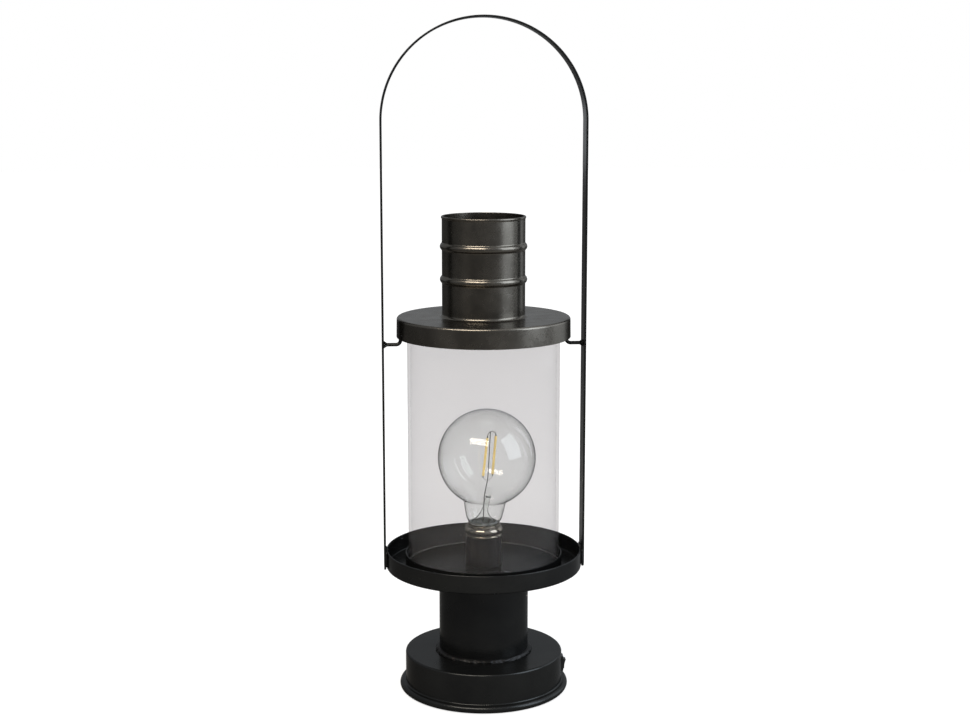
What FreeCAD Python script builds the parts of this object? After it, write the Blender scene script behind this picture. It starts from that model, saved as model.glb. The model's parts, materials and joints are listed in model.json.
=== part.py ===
import FreeCAD, Part

import math
import os

import Sketcher

# Lantern table lamp, in millimetres. +Z is up and the origin is the middle of the underside.
# The strap handle lies in the XZ plane. The switch is at +X and the cord inlet at +Y.

driving_dimensions = {
    # base pan and what closes it
    "base_radius": 76.8,
    "base_top": 37.5,
    "base_edge_round": 2.0,
    "steel_wall": 1.5,
    "wire_hole_radius": 12.0,
    "foot_ledge": 7.4,
    "foot_bead_centre": 79.1,
    "foot_bead_radius": 3.45,
    "foot_cove": 1.5,
    "cover_radius": 77.5,
    "cover_bottom": 2.0,
    "cover_thickness": 1.2,
    "felt_radius": 60.0,
    "lug_seat": 75.0,
    "lug_width": 12.0,
    "lug_depth": 11.0,
    "lug_height": 13.0,
    "screw_circle": 68.0,
    "screw_radius": 1.45,
    "screw_head_radius": 2.8,
    "screw_head_height": 1.4,
    "screw_length": 6.0,
    "screw_play": 0.25,
    # column
    "column_radius": 43.5,
    "column_weld": 3.6,
    # tray and gallery ring
    "tray_radius": 95.1,
    "tray_bottom": 122.2,
    "tray_floor": 124.0,
    "tray_rim": 139.8,
    "tray_edge_round": 2.2,
    "gallery_radius": 76.2,
    "gallery_wall": 1.0,
    "gallery_top": 136.8,
    # strap handle, its welds and the cap arms
    "strap_half_span": 97.4,
    "strap_thickness": 2.0,
    "strap_width": 26.0,
    "strap_bottom": 122.2,
    "strap_end_round": 5.0,
    "handle_top": 650.5,
    "weld_width": 20.0,
    "weld_size": 2.2,
    "weld_throat": 3.3,
    "weld_toe": 0.7,
    "arm_radius": 1.75,
    "arm_height": 342.2,
    "arm_peg_reach": 79.5,
    "arm_peg_top": 359.0,
    "arm_bend": 4.2,
    "arm_weld": 3.0,
    "arm_weld_foot": 3.7,
    "arm_weld_end": 1.72,
    # glass cylinder
    "glass_radius": 73.3,
    "glass_wall": 3.0,
    # cap and chimney
    "cap_radius": 83.0,
    "cap_top": 368.9,
    "cap_sheet": 1.4,
    "cap_skirt": 1.2,
    "cap_skirt_flare": 0.3,
    "skirt_bottom": 349.7,
    "cap_edge_round": 2.2,
    "chimney_radius": 39.7,
    "chimney_wall": 1.0,
    "chimney_top": 464.7,
    "chimney_foot": 3.0,
    "chimney_rim": 0.5,
    "chimney_rim_height": 1.8,
    "lower_bead": 405.6,
    "upper_bead": 437.0,
    "bead_height": 4.4,
    "bead_rise": 1.3,
    # lampholder
    "sleeve_radius": 17.4,
    "sleeve_wall": 1.8,
    "sleeve_top": 153.0,
    "sleeve_floor": 2.0,
    "sleeve_ledge": 133.0,
    "core_radius": 15.2,
    "core_floor": 136.0,
    "core_recess": 13.2,
    "core_top": 144.0,
    "shell_radius": 13.65,
    "shell_wall": 0.4,
    "shell_top": 159.0,
    "rim_bore": 14.8,
    "rim_top": 164.8,
    "rim_low_bead": 1.8,
    "rim_low_swell": 0.4,
    "rim_waist": 16.9,
    "rim_waist_height": 0.4,
    "rim_high_swell": 1.4,
    "rim_lip": 16.2,
    "rim_lip_height": 2.6,
    "rim_soft_edge": 0.4,
    "tongue_foot": 5.2,
    "tongue_bend": 1.5,
    "tongue_reach": 4.2,
    "tongue_width": 6.0,
    "tongue_sheet": 0.5,
    "tongue_gap": 0.05,
    "terminal_head_radius": 2.3,
    "terminal_head_height": 1.6,
    "terminal_below": 3.6,
    "nipple_radius": 5.0,
    "nipple_bore": 4.0,
    "nipple_bottom": 116.0,
    "nipple_top": 129.0,
    "nipple_edge": 0.4,
    "nipple_play": 0.2,
    "nut_flats": 14.0,
    "nut_height": 2.5,
    "washer_radius": 11.0,
    "terminal_offset": 8.0,
    # bulb
    "bulb_radius": 47.5,
    "bulb_centre": 230.4,
    "bulb_glass": 0.8,
    "neck_foot": 162.0,
    "neck_radius": 13.4,
    "neck_collar": 3.7,
    "shoulder_radius": 15.3,
    "shoulder_rise": 4.8,
    "throat_radius": 17.6,
    "throat_rise": 9.4,
    "crease_inset": 2.1,
    "crease_drop": 3.0,
    "crease_bow": 4.24,
    "bulb_tip": 138.0,
    "bulb_rim_radius": 14.25,
    "bulb_rim_top": 165.4,
    "bulb_thread": 12.95,
    "bulb_thread_foot": 6.6,
    "bulb_thread_top": 20.9,
    "bulb_cap_sheet": 0.5,
    "bulb_cap_bore": 12.3,
    "bulb_cap_foot_bore": 11.7,
    "bulb_cap_foot": 4.6,
    "bulb_rim_rise": 2.0,
    "insulator_foot": 4.6,
    "insulator_lip": 1.0,
    "contact_radius": 4.4,
    "contact_tip": 3.2,
    "contact_height": 0.8,
    "contact_bow": 1.5,
    "stem_flare_radius": 12.1,
    "stem_flare_foot": 3.3,
    "stem_flare_lip": 0.8,
    "stem_flare_bow": 12.0,
    "stem_waist_radius": 5.6,
    "stem_waist_rise": 11.5,
    "stem_tube_radius": 3.6,
    "stem_tube_rise": 17.9,
    "stem_top": 198.0,
    "filament_length": 41.0,
    "filament_radius": 0.9,
    "support_wire": 0.35,
    "driver_foot": 7.5,
    "driver_length": 16.0,
    "driver_width": 1.2,
    "driver_height": 14.0,
    "capacitor_radius": 3.2,
    "capacitor_length": 9.0,
    "capacitor_offset": 2.9,
    "capacitor_rise": 1.5,
    # rocker switch
    "switch_height": 20.7,
    "bezel_width": 10.5,
    "bezel_length": 15.4,
    "bezel_face": 2.0,
    "bezel_gap": 0.1,
    "bezel_round": 1.2,
    "switch_body_width": 8.5,
    "switch_body_length": 13.0,
    "switch_body_depth": 12.0,
    "switch_wall": 0.5,
    "rocker_pivot": 75.3,
    "rocker_half_length": 5.1,
    "rocker_width": 6.5,
    "rocker_tip": 5.6,
    "rocker_pin": 1.1,
    "rocker_cavity": 8.0,
    "rocker_side_gap": 0.25,
    "rocker_pin_gap": 0.15,
    "rocker_pin_inset": 0.8,
    "rocker_back": 2.5,
    "rocker_back_half": 2.4,
    "rocker_edge": 4.1,
    "rocker_taper": 0.4,
    "rocker_dish": 0.6,
    "rocker_round": 0.9,
    "blade_width": 2.8,
    "blade_thickness": 0.5,
    "blade_length": 7.0,
    "blade_spacing": 7.0,
    # cord inlet and inner wiring
    "inlet_height": 15.0,
    "inlet_bore": 3.5,
    "inlet_hole": 5.1,
    "grommet_depth": 4.2,
    "grommet_inner_radius": 6.2,
    "grommet_groove_back": 1.95,
    "grommet_groove_front": 0.08,
    "grommet_groove_play": 0.1,
    "grommet_flange_radius": 7.0,
    "grommet_flange": 1.0,
    "grommet_nose_radius": 5.4,
    "grommet_nose": 2.6,
    "grommet_bow": 2.0,
    "grommet_soft_edge": 0.5,
    "lead_radius": 1.1,
    "lead_offset": 1.6,
    "lead_bend": 8.0,
    "block_length": 16.0,
    "block_width": 17.0,
    "block_height": 13.0,
    "block_place": 28.0,
    "block_pole": 8.0,
    "block_round": 1.2,
    "block_wire_play": 0.3,
    "block_well": 2.0,
    "lead_into_block": 5.0,
}

# Fixed proportions that are not driven from the sheet
rocker_tilt = 10.0        # degrees either side of the middle
bulb_join_angle = 28.7    # degrees from the bottom pole, where the neck meets the globe
screw_places = 3
first_screw_angle = 60.0
switch_clearance = 0.2
hole_clearance = 0.05

doc = FreeCAD.newDocument("lantern_table_lamp")
sheet = doc.addObject("Spreadsheet::Sheet", "dims")
sub_parts = []


class Size:
    """A length that knows its number and the sheet expression that drives it."""

    def __init__(self, number, text):
        self.number = number
        self.text = text

    def joined(self, other, sign, number):
        return Size(number, "(" + self.text + " " + sign + " " + other.text + ")")

    def __add__(self, other):
        other = as_size(other)
        return self.joined(other, "+", self.number + other.number)

    def __sub__(self, other):
        other = as_size(other)
        return self.joined(other, "-", self.number - other.number)

    def __mul__(self, other):
        other = as_size(other)
        return self.joined(other, "*", self.number * other.number)

    def __truediv__(self, other):
        other = as_size(other)
        return self.joined(other, "/", self.number / other.number)

    def __neg__(self):
        return as_size(0.0) - self


def as_size(item):
    return item if isinstance(item, Size) else Size(float(item), "%.6f" % item)


class Dims:
    """The driving dimensions as attributes, each one a Size."""

    def __init__(self, numbers):
        for row, (name, number) in enumerate(numbers.items(), 1):
            sheet.set("A%d" % row, name)
            sheet.set("B%d" % row, str(number))
            sheet.setAlias("B%d" % row, name)
            setattr(self, name, Size(float(number), "dims." + name))


dims = Dims(driving_dimensions)
doc.recompute()


def corner(across, up, round=None, bow=None, inward=False):
    """A profile corner. round fillets it; bow makes the edge that arrives at it an arc.

    A profile runs anticlockwise, and a bow bulges away from the material unless inward.
    """
    return {"x": as_size(across), "y": as_size(up), "round": round, "bow": bow, "inward": inward}


def arc_between(start, end, radius, clockwise):
    """Arc geometry of less than a half turn, and which of its ends is the start."""
    half = (end - start) * 0.5
    reach = math.sqrt(max(radius ** 2 - half.Length ** 2, 0.0))
    side = FreeCAD.Vector(-half.y, half.x, 0).normalize() * reach
    centre = start + half + (-side if clockwise else side)
    first, last = (end, start) if clockwise else (start, end)
    angles = [math.atan2(point.y - centre.y, point.x - centre.x) for point in (first, last)]
    circle = Part.Circle(centre, FreeCAD.Vector(0, 0, 1), radius)
    return Part.ArcOfCircle(circle, angles[0], angles[1]), (2 if clockwise else 1)


vertical_axis = -2


def drive(sketch, constraint, size):
    """Adds a dimension and binds it to the sheet."""
    index = sketch.addConstraint(constraint)
    if "dims." in size.text:
        sketch.setExpression("Constraints[%d]" % index, size.text)


def pin_point(sketch, geometry, position, across, up):
    origin, origin_point = -1, 1
    for kind, size in (("DistanceX", across), ("DistanceY", up)):
        constraint = Sketcher.Constraint(kind, origin, origin_point, geometry, position, size.number)
        drive(sketch, constraint, size)


def draw_profile(sketch, corners):
    """Draws a closed, fully dimensioned outline of lines, arcs and rounded corners."""
    count = len(corners)
    points = [FreeCAD.Vector(c["x"].number, c["y"].number, 0) for c in corners]
    leaving, arriving, fillets = list(points), list(points), [None] * count
    for i, place in enumerate(corners):
        if place["round"] is None:
            continue
        back = (points[i - 1] - points[i]).normalize()
        ahead = (points[(i + 1) % count] - points[i]).normalize()
        reach = place["round"].number / math.tan(back.getAngle(ahead) / 2)
        arriving[i] = points[i] + back * reach
        leaving[i] = points[i] + ahead * reach
        fillets[i] = back.cross(ahead).z > 0
    edges = []
    for i in range(count):
        after = (i + 1) % count
        start, end, place = leaving[i], arriving[after], corners[after]
        if place["bow"] is None:
            edges.append((sketch.addGeometry(Part.LineSegment(start, end), False), 1))
        else:
            arc, first = arc_between(start, end, place["bow"].number, place["inward"])
            edge = sketch.addGeometry(arc, False)
            edges.append((edge, first))
            if abs(start.x * end.x) < hole_clearance and abs(start.y - end.y) > hole_clearance:
                sketch.addConstraint(Sketcher.Constraint("PointOnObject", edge, 3, vertical_axis))
            else:
                radius = Sketcher.Constraint("Radius", edge, place["bow"].number)
                drive(sketch, radius, place["bow"])
    for i, place in enumerate(corners):
        before, before_first = edges[i - 1]
        before_end = 3 - before_first
        after, after_first = edges[i]
        if fillets[i] is None:
            sketch.addConstraint(Sketcher.Constraint("Coincident", before, before_end, after, after_first))
            pin_point(sketch, after, after_first, place["x"], place["y"])
            continue
        arc, first = arc_between(arriving[i], leaving[i], place["round"].number, fillets[i])
        fillet = sketch.addGeometry(arc, False)
        sketch.addConstraint(Sketcher.Constraint("Tangent", before, before_end, fillet, first))
        sketch.addConstraint(Sketcher.Constraint("Tangent", fillet, 3 - first, after, after_first))
        drive(sketch, Sketcher.Constraint("Radius", fillet, place["round"].number), place["round"])
        sharp = sketch.addGeometry(Part.Point(points[i]), True)
        sketch.addConstraint(Sketcher.Constraint("PointOnObject", sharp, 1, before))
        sketch.addConstraint(Sketcher.Constraint("PointOnObject", sharp, 1, after))
        pin_point(sketch, sharp, 1, place["x"], place["y"])


def draw_circle(sketch, across, up, radius):
    across, up = as_size(across), as_size(up)
    centre = FreeCAD.Vector(across.number, up.number, 0)
    circle = sketch.addGeometry(Part.Circle(centre, FreeCAD.Vector(0, 0, 1), radius.number), False)
    pin_point(sketch, circle, 3, across, up)
    drive(sketch, Sketcher.Constraint("Radius", circle, radius.number), radius)


def rectangle(left, bottom, right, top, round=None):
    """A rectangular profile, as corners."""
    places = ((left, bottom), (right, bottom), (right, top), (left, top))
    return [corner(across, up, round=round) for across, up in places]


def keep(label, item):
    """Registers a finished sub-part under its own label."""
    item.Label = label
    sub_parts.append(item)
    return item


def new_body(label, several=False):
    body = keep(label, doc.addObject("PartDesign::Body", label))
    body.AllowCompound = several
    return body


def origin_feature(body, role):
    return [item for item in body.Origin.OriginFeatures if item.Role == role][0]


def new_sketch(body, plane, offset=None):
    """A sketch on one of the body's origin planes, raised along its normal by offset."""
    sketch = body.newObject("Sketcher::SketchObject", body.Name + "_outline")
    sketch.AttachmentSupport = [(origin_feature(body, plane), "")]
    sketch.MapMode = "FlatFace"
    if offset is not None:
        place(sketch, "AttachmentOffset.Base.z", offset)
    return sketch


def place(item, path, size):
    """Sets one length of an object from the sheet."""
    item.setExpression(path, as_size(size).text)


def add_pad(body, sketch, length, midplane=False, reverse=False):
    pad = body.newObject("PartDesign::Pad", body.Name + "_pad")
    pad.Profile = sketch
    pad.Length = length.number
    place(pad, "Length", length)
    pad.SideType = "Symmetric" if midplane else "One side"
    pad.Reversed = reverse
    return pad


def add_pocket(body, sketch, length, midplane=False, reverse=False):
    """Cuts the sketch into the body and makes sure that the cut took material away."""
    doc.recompute()
    before = body.Shape.Volume
    pocket = body.newObject("PartDesign::Pocket", body.Name + "_pocket")
    pocket.Profile = sketch
    pocket.Length = length.number
    place(pocket, "Length", length)
    pocket.SideType = "Symmetric" if midplane else "One side"
    pocket.Reversed = reverse
    doc.recompute()
    if body.Shape.Volume >= before:
        raise RuntimeError(body.Label + ": a pocket cut nothing")
    return pocket


def revolve(body, corners):
    """Turns a profile of (radius, height) corners about the body's own Z axis."""
    sketch = new_sketch(body, "XZ_Plane")
    draw_profile(sketch, corners)
    turn = body.newObject("PartDesign::Revolution", body.Name + "_turned")
    turn.Profile = sketch
    turn.ReferenceAxis = (sketch, ["V_Axis"])
    turn.Angle = 360.0
    return turn


def turned(label, corners):
    body = new_body(label)
    revolve(body, corners)
    return body


def repeat_around(body, features, places):
    """Repeats features about the body's Z axis."""
    doc.recompute()
    pattern = body.newObject("PartDesign::PolarPattern", body.Name + "_around")
    pattern.Originals = features
    pattern.Axis = (origin_feature(body, "Z_Axis"), [""])
    pattern.Angle = 360.0
    pattern.Occurrences = places
    body.Tip = pattern
    return pattern


def mirror_across_yz(body, features):
    doc.recompute()
    mirror = body.newObject("PartDesign::Mirrored", body.Name + "_mirrored")
    mirror.Originals = features
    mirror.MirrorPlane = (origin_feature(body, "YZ_Plane"), [""])
    body.Tip = mirror
    return mirror


def swept(body, route, radius, plane, start_plane, start_offset, start):
    """A round bar along a flat open route. route is (across, up, bend radius or None) points."""
    path = body.newObject("Sketcher::SketchObject", body.Name + "_route")
    path.AttachmentSupport = [(origin_feature(body, plane), "")]
    path.MapMode = "FlatFace"
    draw_route(path, route)
    section = new_sketch(body, start_plane, start_offset)
    draw_circle(section, start[0], start[1], radius)
    pipe = body.newObject("PartDesign::AdditivePipe", body.Name + "_bar")
    pipe.Profile = section
    pipe.Spine = path
    return pipe


def draw_route(sketch, route):
    """Draws an open line of straight runs with tangent arcs at the bends."""
    points = [FreeCAD.Vector(x.number, y.number, 0) for x, y, _ in route]
    last = len(points) - 1
    leaving, arriving = list(points), list(points)
    for i in range(1, last):
        back = (points[i - 1] - points[i]).normalize()
        ahead = (points[i + 1] - points[i]).normalize()
        reach = route[i][2].number / math.tan(back.getAngle(ahead) / 2)
        arriving[i] = points[i] + back * reach
        leaving[i] = points[i] + ahead * reach
    runs = [sketch.addGeometry(Part.LineSegment(leaving[i], arriving[i + 1]), False) for i in range(last)]
    pin_point(sketch, runs[0], 1, route[0][0], route[0][1])
    pin_point(sketch, runs[-1], 2, route[-1][0], route[-1][1])
    for i in range(1, last):
        across, up, bend = route[i]
        back, ahead = points[i - 1] - points[i], points[i + 1] - points[i]
        arc, first = arc_between(arriving[i], leaving[i], bend.number, back.cross(ahead).z > 0)
        turn = sketch.addGeometry(arc, False)
        sketch.addConstraint(Sketcher.Constraint("Tangent", runs[i - 1], 2, turn, first))
        sketch.addConstraint(Sketcher.Constraint("Tangent", turn, 3 - first, runs[i], 1))
        drive(sketch, Sketcher.Constraint("Radius", turn, bend.number), bend)
        sharp = sketch.addGeometry(Part.Point(points[i]), True)
        sketch.addConstraint(Sketcher.Constraint("PointOnObject", sharp, 1, runs[i - 1]))
        sketch.addConstraint(Sketcher.Constraint("PointOnObject", sharp, 1, runs[i]))
        pin_point(sketch, sharp, 1, across, up)


def bow_radius(chord, rise):
    """Radius of the arc that rises by rise over a chord."""
    return (chord * chord / 4 + rise * rise) / (rise * 2)


def cylinder(name, radius, height, bottom, across=None, along=None):
    item = doc.addObject("Part::Cylinder", name)
    place(item, "Radius", radius)
    place(item, "Height", height)
    place(item, "Placement.Base.z", bottom)
    if across is not None:
        place(item, "Placement.Base.x", across)
    if along is not None:
        place(item, "Placement.Base.y", along)
    return item


def cut(name, base, tool):
    item = doc.addObject("Part::Cut", name)
    item.Base = base
    item.Tool = tool
    return item


def compound(name, items):
    item = doc.addObject("Part::Compound", name)
    item.Links = items
    return item


# ---- base ----

def make_base_pan():
    """Pressed steel pan, open below, whose lower edge is rolled outwards into a hollow bead."""
    d = dims
    bead = d.foot_bead_radius
    bead_height = d.foot_ledge - bead
    curl = bead - d.steel_wall
    inner_radius = d.base_radius - d.steel_wall
    inner_top = d.base_top - d.steel_wall
    ledge_under = d.foot_ledge - d.steel_wall
    body = turned("base_pan", [
        corner(d.wire_hole_radius, inner_top),
        corner(inner_radius, inner_top, round=d.base_edge_round - d.steel_wall),
        corner(inner_radius, ledge_under, round=d.foot_cove + d.steel_wall),
        corner(d.foot_bead_centre, ledge_under),
        corner(d.foot_bead_centre + curl, bead_height, bow=curl, inward=True),
        corner(d.foot_bead_centre, bead_height - curl, bow=curl, inward=True),
        corner(d.foot_bead_centre, bead_height - bead),
        corner(d.foot_bead_centre + bead, bead_height, bow=bead),
        corner(d.foot_bead_centre, d.foot_ledge, bow=bead),
        corner(d.base_radius, d.foot_ledge, round=d.foot_cove),
        corner(d.base_radius, d.base_top, round=d.base_edge_round),
        corner(d.wire_hole_radius, d.base_top),
    ])
    half_width = d.switch_body_width / 2 + switch_clearance
    half_length = d.switch_body_length / 2 + switch_clearance
    opening = new_sketch(body, "YZ_Plane")
    low, high = d.switch_height - half_length, d.switch_height + half_length
    draw_profile(opening, rectangle(-half_width, low, half_width, high))
    add_pocket(body, opening, d.foot_bead_centre * 1.2, reverse=True)
    inlet = new_sketch(body, "XZ_Plane")
    draw_circle(inlet, 0, d.inlet_height, d.inlet_hole)
    add_pocket(body, inlet, d.foot_bead_centre * 1.2)


def make_base_cover():
    """Flat steel disc under the pan, held by three screws."""
    d = dims
    body = new_body("base_cover")
    sketch = new_sketch(body, "XY_Plane", d.cover_bottom)
    draw_circle(sketch, 0, 0, d.cover_radius)
    for turn in range(screw_places):
        angle = math.radians(first_screw_angle + 360.0 * turn / screw_places)
        across, up = d.screw_circle * math.cos(angle), d.screw_circle * math.sin(angle)
        draw_circle(sketch, across, up, d.screw_radius + d.screw_play)
    add_pad(body, sketch, d.cover_thickness)


def make_felt_pad():
    """Felt disc glued to the cover. It is what the lamp stands on."""
    keep("felt_pad", cylinder("felt_pad", dims.felt_radius, dims.cover_bottom, 0))


def make_cover_lugs():
    """Three angle brackets welded inside the pan's wall, tapped for the cover screws."""
    d = dims
    bottom = d.cover_bottom + d.cover_thickness
    top = bottom + d.lug_height
    body = new_body("cover_lugs", several=True)
    profile = new_sketch(body, "XZ_Plane")
    draw_profile(profile, [
        corner(d.lug_seat - d.lug_depth, bottom),
        corner(d.lug_seat, bottom),
        corner(d.lug_seat, top),
        corner(d.lug_seat - d.steel_wall, top),
        corner(d.lug_seat - d.steel_wall, bottom + d.steel_wall, round=d.steel_wall),
        corner(d.lug_seat - d.lug_depth, bottom + d.steel_wall),
    ])
    bracket = add_pad(body, profile, d.lug_width, midplane=True)
    hole = new_sketch(body, "XY_Plane", bottom)
    draw_circle(hole, d.screw_circle, 0, d.screw_radius + hole_clearance)
    tapped = add_pocket(body, hole, d.steel_wall * 2, reverse=True)
    repeat_around(body, [bracket, tapped], screw_places)
    body.Placement.Rotation = FreeCAD.Rotation(FreeCAD.Vector(0, 0, 1), first_screw_angle)


def make_cover_screws():
    """Three pan-head screws, heads below the cover."""
    d = dims
    under = d.cover_bottom
    body = new_body("cover_screws", several=True)
    shank = new_sketch(body, "XY_Plane", under)
    draw_circle(shank, d.screw_circle, 0, d.screw_radius)
    shank_pad = add_pad(body, shank, d.screw_length)
    head = new_sketch(body, "XY_Plane", under - d.screw_head_height)
    draw_circle(head, d.screw_circle, 0, d.screw_head_radius)
    head_pad = add_pad(body, head, d.screw_head_height)
    repeat_around(body, [shank_pad, head_pad], screw_places)
    body.Placement.Rotation = FreeCAD.Rotation(FreeCAD.Vector(0, 0, 1), first_screw_angle)


def make_column():
    """Steel tube between base and tray, with the weld fillet at its foot."""
    d = dims
    bore = d.column_radius - d.steel_wall
    turned("column", [
        corner(bore, d.base_top),
        corner(d.column_radius + d.column_weld, d.base_top),
        corner(d.column_radius, d.base_top + d.column_weld, bow=d.column_weld, inward=True),
        corner(d.column_radius, d.tray_bottom),
        corner(bore, d.tray_bottom),
    ])


# ---- tray ----

def make_tray():
    """Pressed dish with an upright wall and a hole for the lampholder's nipple."""
    d = dims
    hole = d.nipple_radius + d.nipple_play
    wall = d.tray_radius - d.steel_wall
    turned("tray", [
        corner(hole, d.tray_bottom),
        corner(d.tray_radius, d.tray_bottom, round=d.tray_edge_round),
        corner(d.tray_radius, d.tray_rim, round=d.steel_wall * 0.4),
        corner(wall, d.tray_rim, round=d.steel_wall * 0.4),
        corner(wall, d.tray_floor, round=d.tray_edge_round * 0.5),
        corner(hole, d.tray_floor),
    ])


def make_glass_gallery():
    """Upright ring on the tray floor that keeps the foot of the glass in place."""
    d = dims
    inner = d.gallery_radius - d.gallery_wall
    turned("glass_gallery", [
        corner(inner, d.tray_floor),
        corner(d.gallery_radius, d.tray_floor),
        corner(d.gallery_radius, d.gallery_top, round=d.gallery_wall * 0.4),
        corner(inner, d.gallery_top, round=d.gallery_wall * 0.4),
    ])


# ---- handle ----

def make_handle_strap():
    """Flat steel strip bent to a half round arch with straight legs and rounded ends."""
    d = dims
    outer = d.strap_half_span
    inner = outer - d.strap_thickness
    arch = d.handle_top - outer
    body = new_body("handle_strap")
    sketch = new_sketch(body, "XZ_Plane")
    draw_profile(sketch, [
        corner(inner, d.strap_bottom),
        corner(outer, d.strap_bottom),
        corner(outer, arch),
        corner(0, arch + outer, bow=outer),
        corner(-outer, arch, bow=outer),
        corner(-outer, d.strap_bottom),
        corner(-inner, d.strap_bottom),
        corner(-inner, arch),
        corner(0, arch + inner, bow=inner, inward=True),
        corner(inner, arch, bow=inner, inward=True),
    ])
    strip = add_pad(body, sketch, d.strap_width, midplane=True)
    doc.recompute()
    ends = []
    for number, edge in enumerate(strip.Shape.Edges, 1):
        level = edge.BoundBox.ZMax < d.strap_bottom.number + hole_clearance
        if level and edge.BoundBox.YLength < hole_clearance:
            ends.append("Edge%d" % number)
    rounding = body.newObject("PartDesign::Fillet", body.Name + "_ends")
    rounding.Base = (strip, ends)
    place(rounding, "Radius", d.strap_end_round)


def make_handle_welds():
    """Weld metal between the flat strap and the round tray wall, one run at each side."""
    d = dims
    face = d.strap_half_span - d.strap_thickness
    toe = d.tray_radius - d.steel_wall
    body = new_body("handle_welds", several=True)
    outline = new_sketch(body, "XZ_Plane")
    draw_profile(outline, [
        corner(toe, d.tray_bottom + d.tray_edge_round),
        corner(face, d.tray_bottom + d.tray_edge_round),
        corner(face, d.tray_rim + d.weld_size),
        corner(toe, d.tray_rim + d.weld_toe, bow=d.weld_throat, inward=True),
    ])
    run = add_pad(body, outline, d.weld_width, midplane=True)
    wall = new_sketch(body, "XY_Plane", d.tray_bottom)
    draw_circle(wall, 0, 0, d.tray_radius)
    seat = add_pocket(body, wall, d.tray_rim - d.tray_bottom, reverse=True)
    mirror_across_yz(body, [run, seat])


def make_cap_arm(label, side):
    """Round rod welded to the strap and bent up inside the cap's skirt to keep the cap central."""
    d = dims
    face = (d.strap_half_span - d.strap_thickness) * side
    peg = d.arm_peg_reach * side
    body = new_body(label)
    route = [(face, d.arm_height, None), (peg, d.arm_height, d.arm_bend), (peg, d.arm_peg_top, None)]
    swept(body, route, d.arm_radius, "XZ_Plane", "YZ_Plane", face, (0, d.arm_height))
    weld = body.newObject("PartDesign::AdditiveCone", label + "_weld")
    weld.AttachmentSupport = [(origin_feature(body, "YZ_Plane"), "")]
    weld.MapMode = "FlatFace"
    place(weld, "Radius1", d.arm_weld_foot)
    place(weld, "Radius2", d.arm_weld_end)
    place(weld, "Height", d.arm_weld)
    place(weld, "AttachmentOffset.Base.y", d.arm_height)
    place(weld, "AttachmentOffset.Base.z", face)
    if side > 0:
        weld.AttachmentOffset.Rotation = FreeCAD.Rotation(FreeCAD.Vector(0, 1, 0), 180)


# ---- lampholder ----

def make_holder_sleeve():
    """Outer sleeve of the lampholder, clamped through its floor, with a ledge for the core."""
    d = dims
    hole = d.nipple_radius + d.nipple_play / 2
    bore = d.sleeve_radius - d.sleeve_wall
    floor = d.tray_floor + d.sleeve_floor
    step = bore - d.sleeve_wall
    turned("holder_sleeve", [
        corner(hole, d.tray_floor),
        corner(d.sleeve_radius, d.tray_floor, round=d.sleeve_wall * 0.4),
        corner(d.sleeve_radius, d.sleeve_top),
        corner(bore, d.sleeve_top),
        corner(bore, d.sleeve_ledge),
        corner(step, d.sleeve_ledge),
        corner(step, floor),
        corner(hole, floor),
    ])


def make_holder_rim_ring():
    """Plated ring on the sleeve: a low bead, a high bead and a lip round the bulb's neck."""
    d = dims
    low_top = d.sleeve_top + d.rim_low_bead
    high_foot = low_top + d.rim_waist_height
    high_top = d.rim_top - d.rim_lip_height
    low_bow = bow_radius(d.rim_low_bead, d.rim_low_swell)
    high_bow = bow_radius(high_top - high_foot, d.rim_high_swell)
    turned("holder_rim_ring", [
        corner(d.rim_bore, d.sleeve_top),
        corner(d.sleeve_radius, d.sleeve_top),
        corner(d.sleeve_radius, low_top, bow=low_bow),
        corner(d.rim_waist, high_foot),
        corner(d.rim_waist, high_top, bow=high_bow),
        corner(d.rim_lip, high_top + d.rim_soft_edge),
        corner(d.rim_lip, d.rim_top, round=d.rim_soft_edge),
        corner(d.rim_bore, d.rim_top, round=d.rim_soft_edge),
    ])


def make_holder_core():
    """Ceramic body with a recess for the foot of the bulb and two holes for the terminal screws."""
    d = dims
    body = turned("holder_core", [
        corner(0, d.sleeve_ledge),
        corner(d.core_radius, d.sleeve_ledge),
        corner(d.core_radius, d.core_top),
        corner(d.core_recess, d.core_top),
        corner(d.core_recess, d.core_floor),
        corner(0, d.core_floor),
    ])
    holes = new_sketch(body, "XY_Plane", d.sleeve_ledge)
    for side in (1, -1):
        draw_circle(holes, d.terminal_offset * side, 0, d.screw_radius + hole_clearance)
    add_pocket(body, holes, d.core_floor - d.sleeve_ledge, reverse=True)


def make_holder_screw_shell():
    """Thin brass shell that the bulb screws into, standing on the core."""
    d = dims
    outer = d.shell_radius + d.shell_wall
    turned("holder_screw_shell", rectangle(d.shell_radius, d.core_top, outer, d.shell_top))


def make_holder_centre_contact():
    """Bent brass tongue in the core that presses on the bulb's tip."""
    d = dims
    top = d.bulb_tip - d.tongue_gap
    shift = d.tongue_sheet * 0.4
    body = new_body("holder_centre_contact")
    sketch = new_sketch(body, "XZ_Plane")
    draw_profile(sketch, [
        corner(-d.tongue_foot, d.core_floor),
        corner(-d.tongue_bend, d.core_floor),
        corner(d.tongue_bend, top - d.tongue_sheet),
        corner(d.tongue_reach, top - d.tongue_sheet),
        corner(d.tongue_reach, top),
        corner(d.tongue_bend - shift, top),
        corner(-d.tongue_bend - shift, d.core_floor + d.tongue_sheet),
        corner(-d.tongue_foot, d.core_floor + d.tongue_sheet),
    ])
    add_pad(body, sketch, d.tongue_width, midplane=True)


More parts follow.
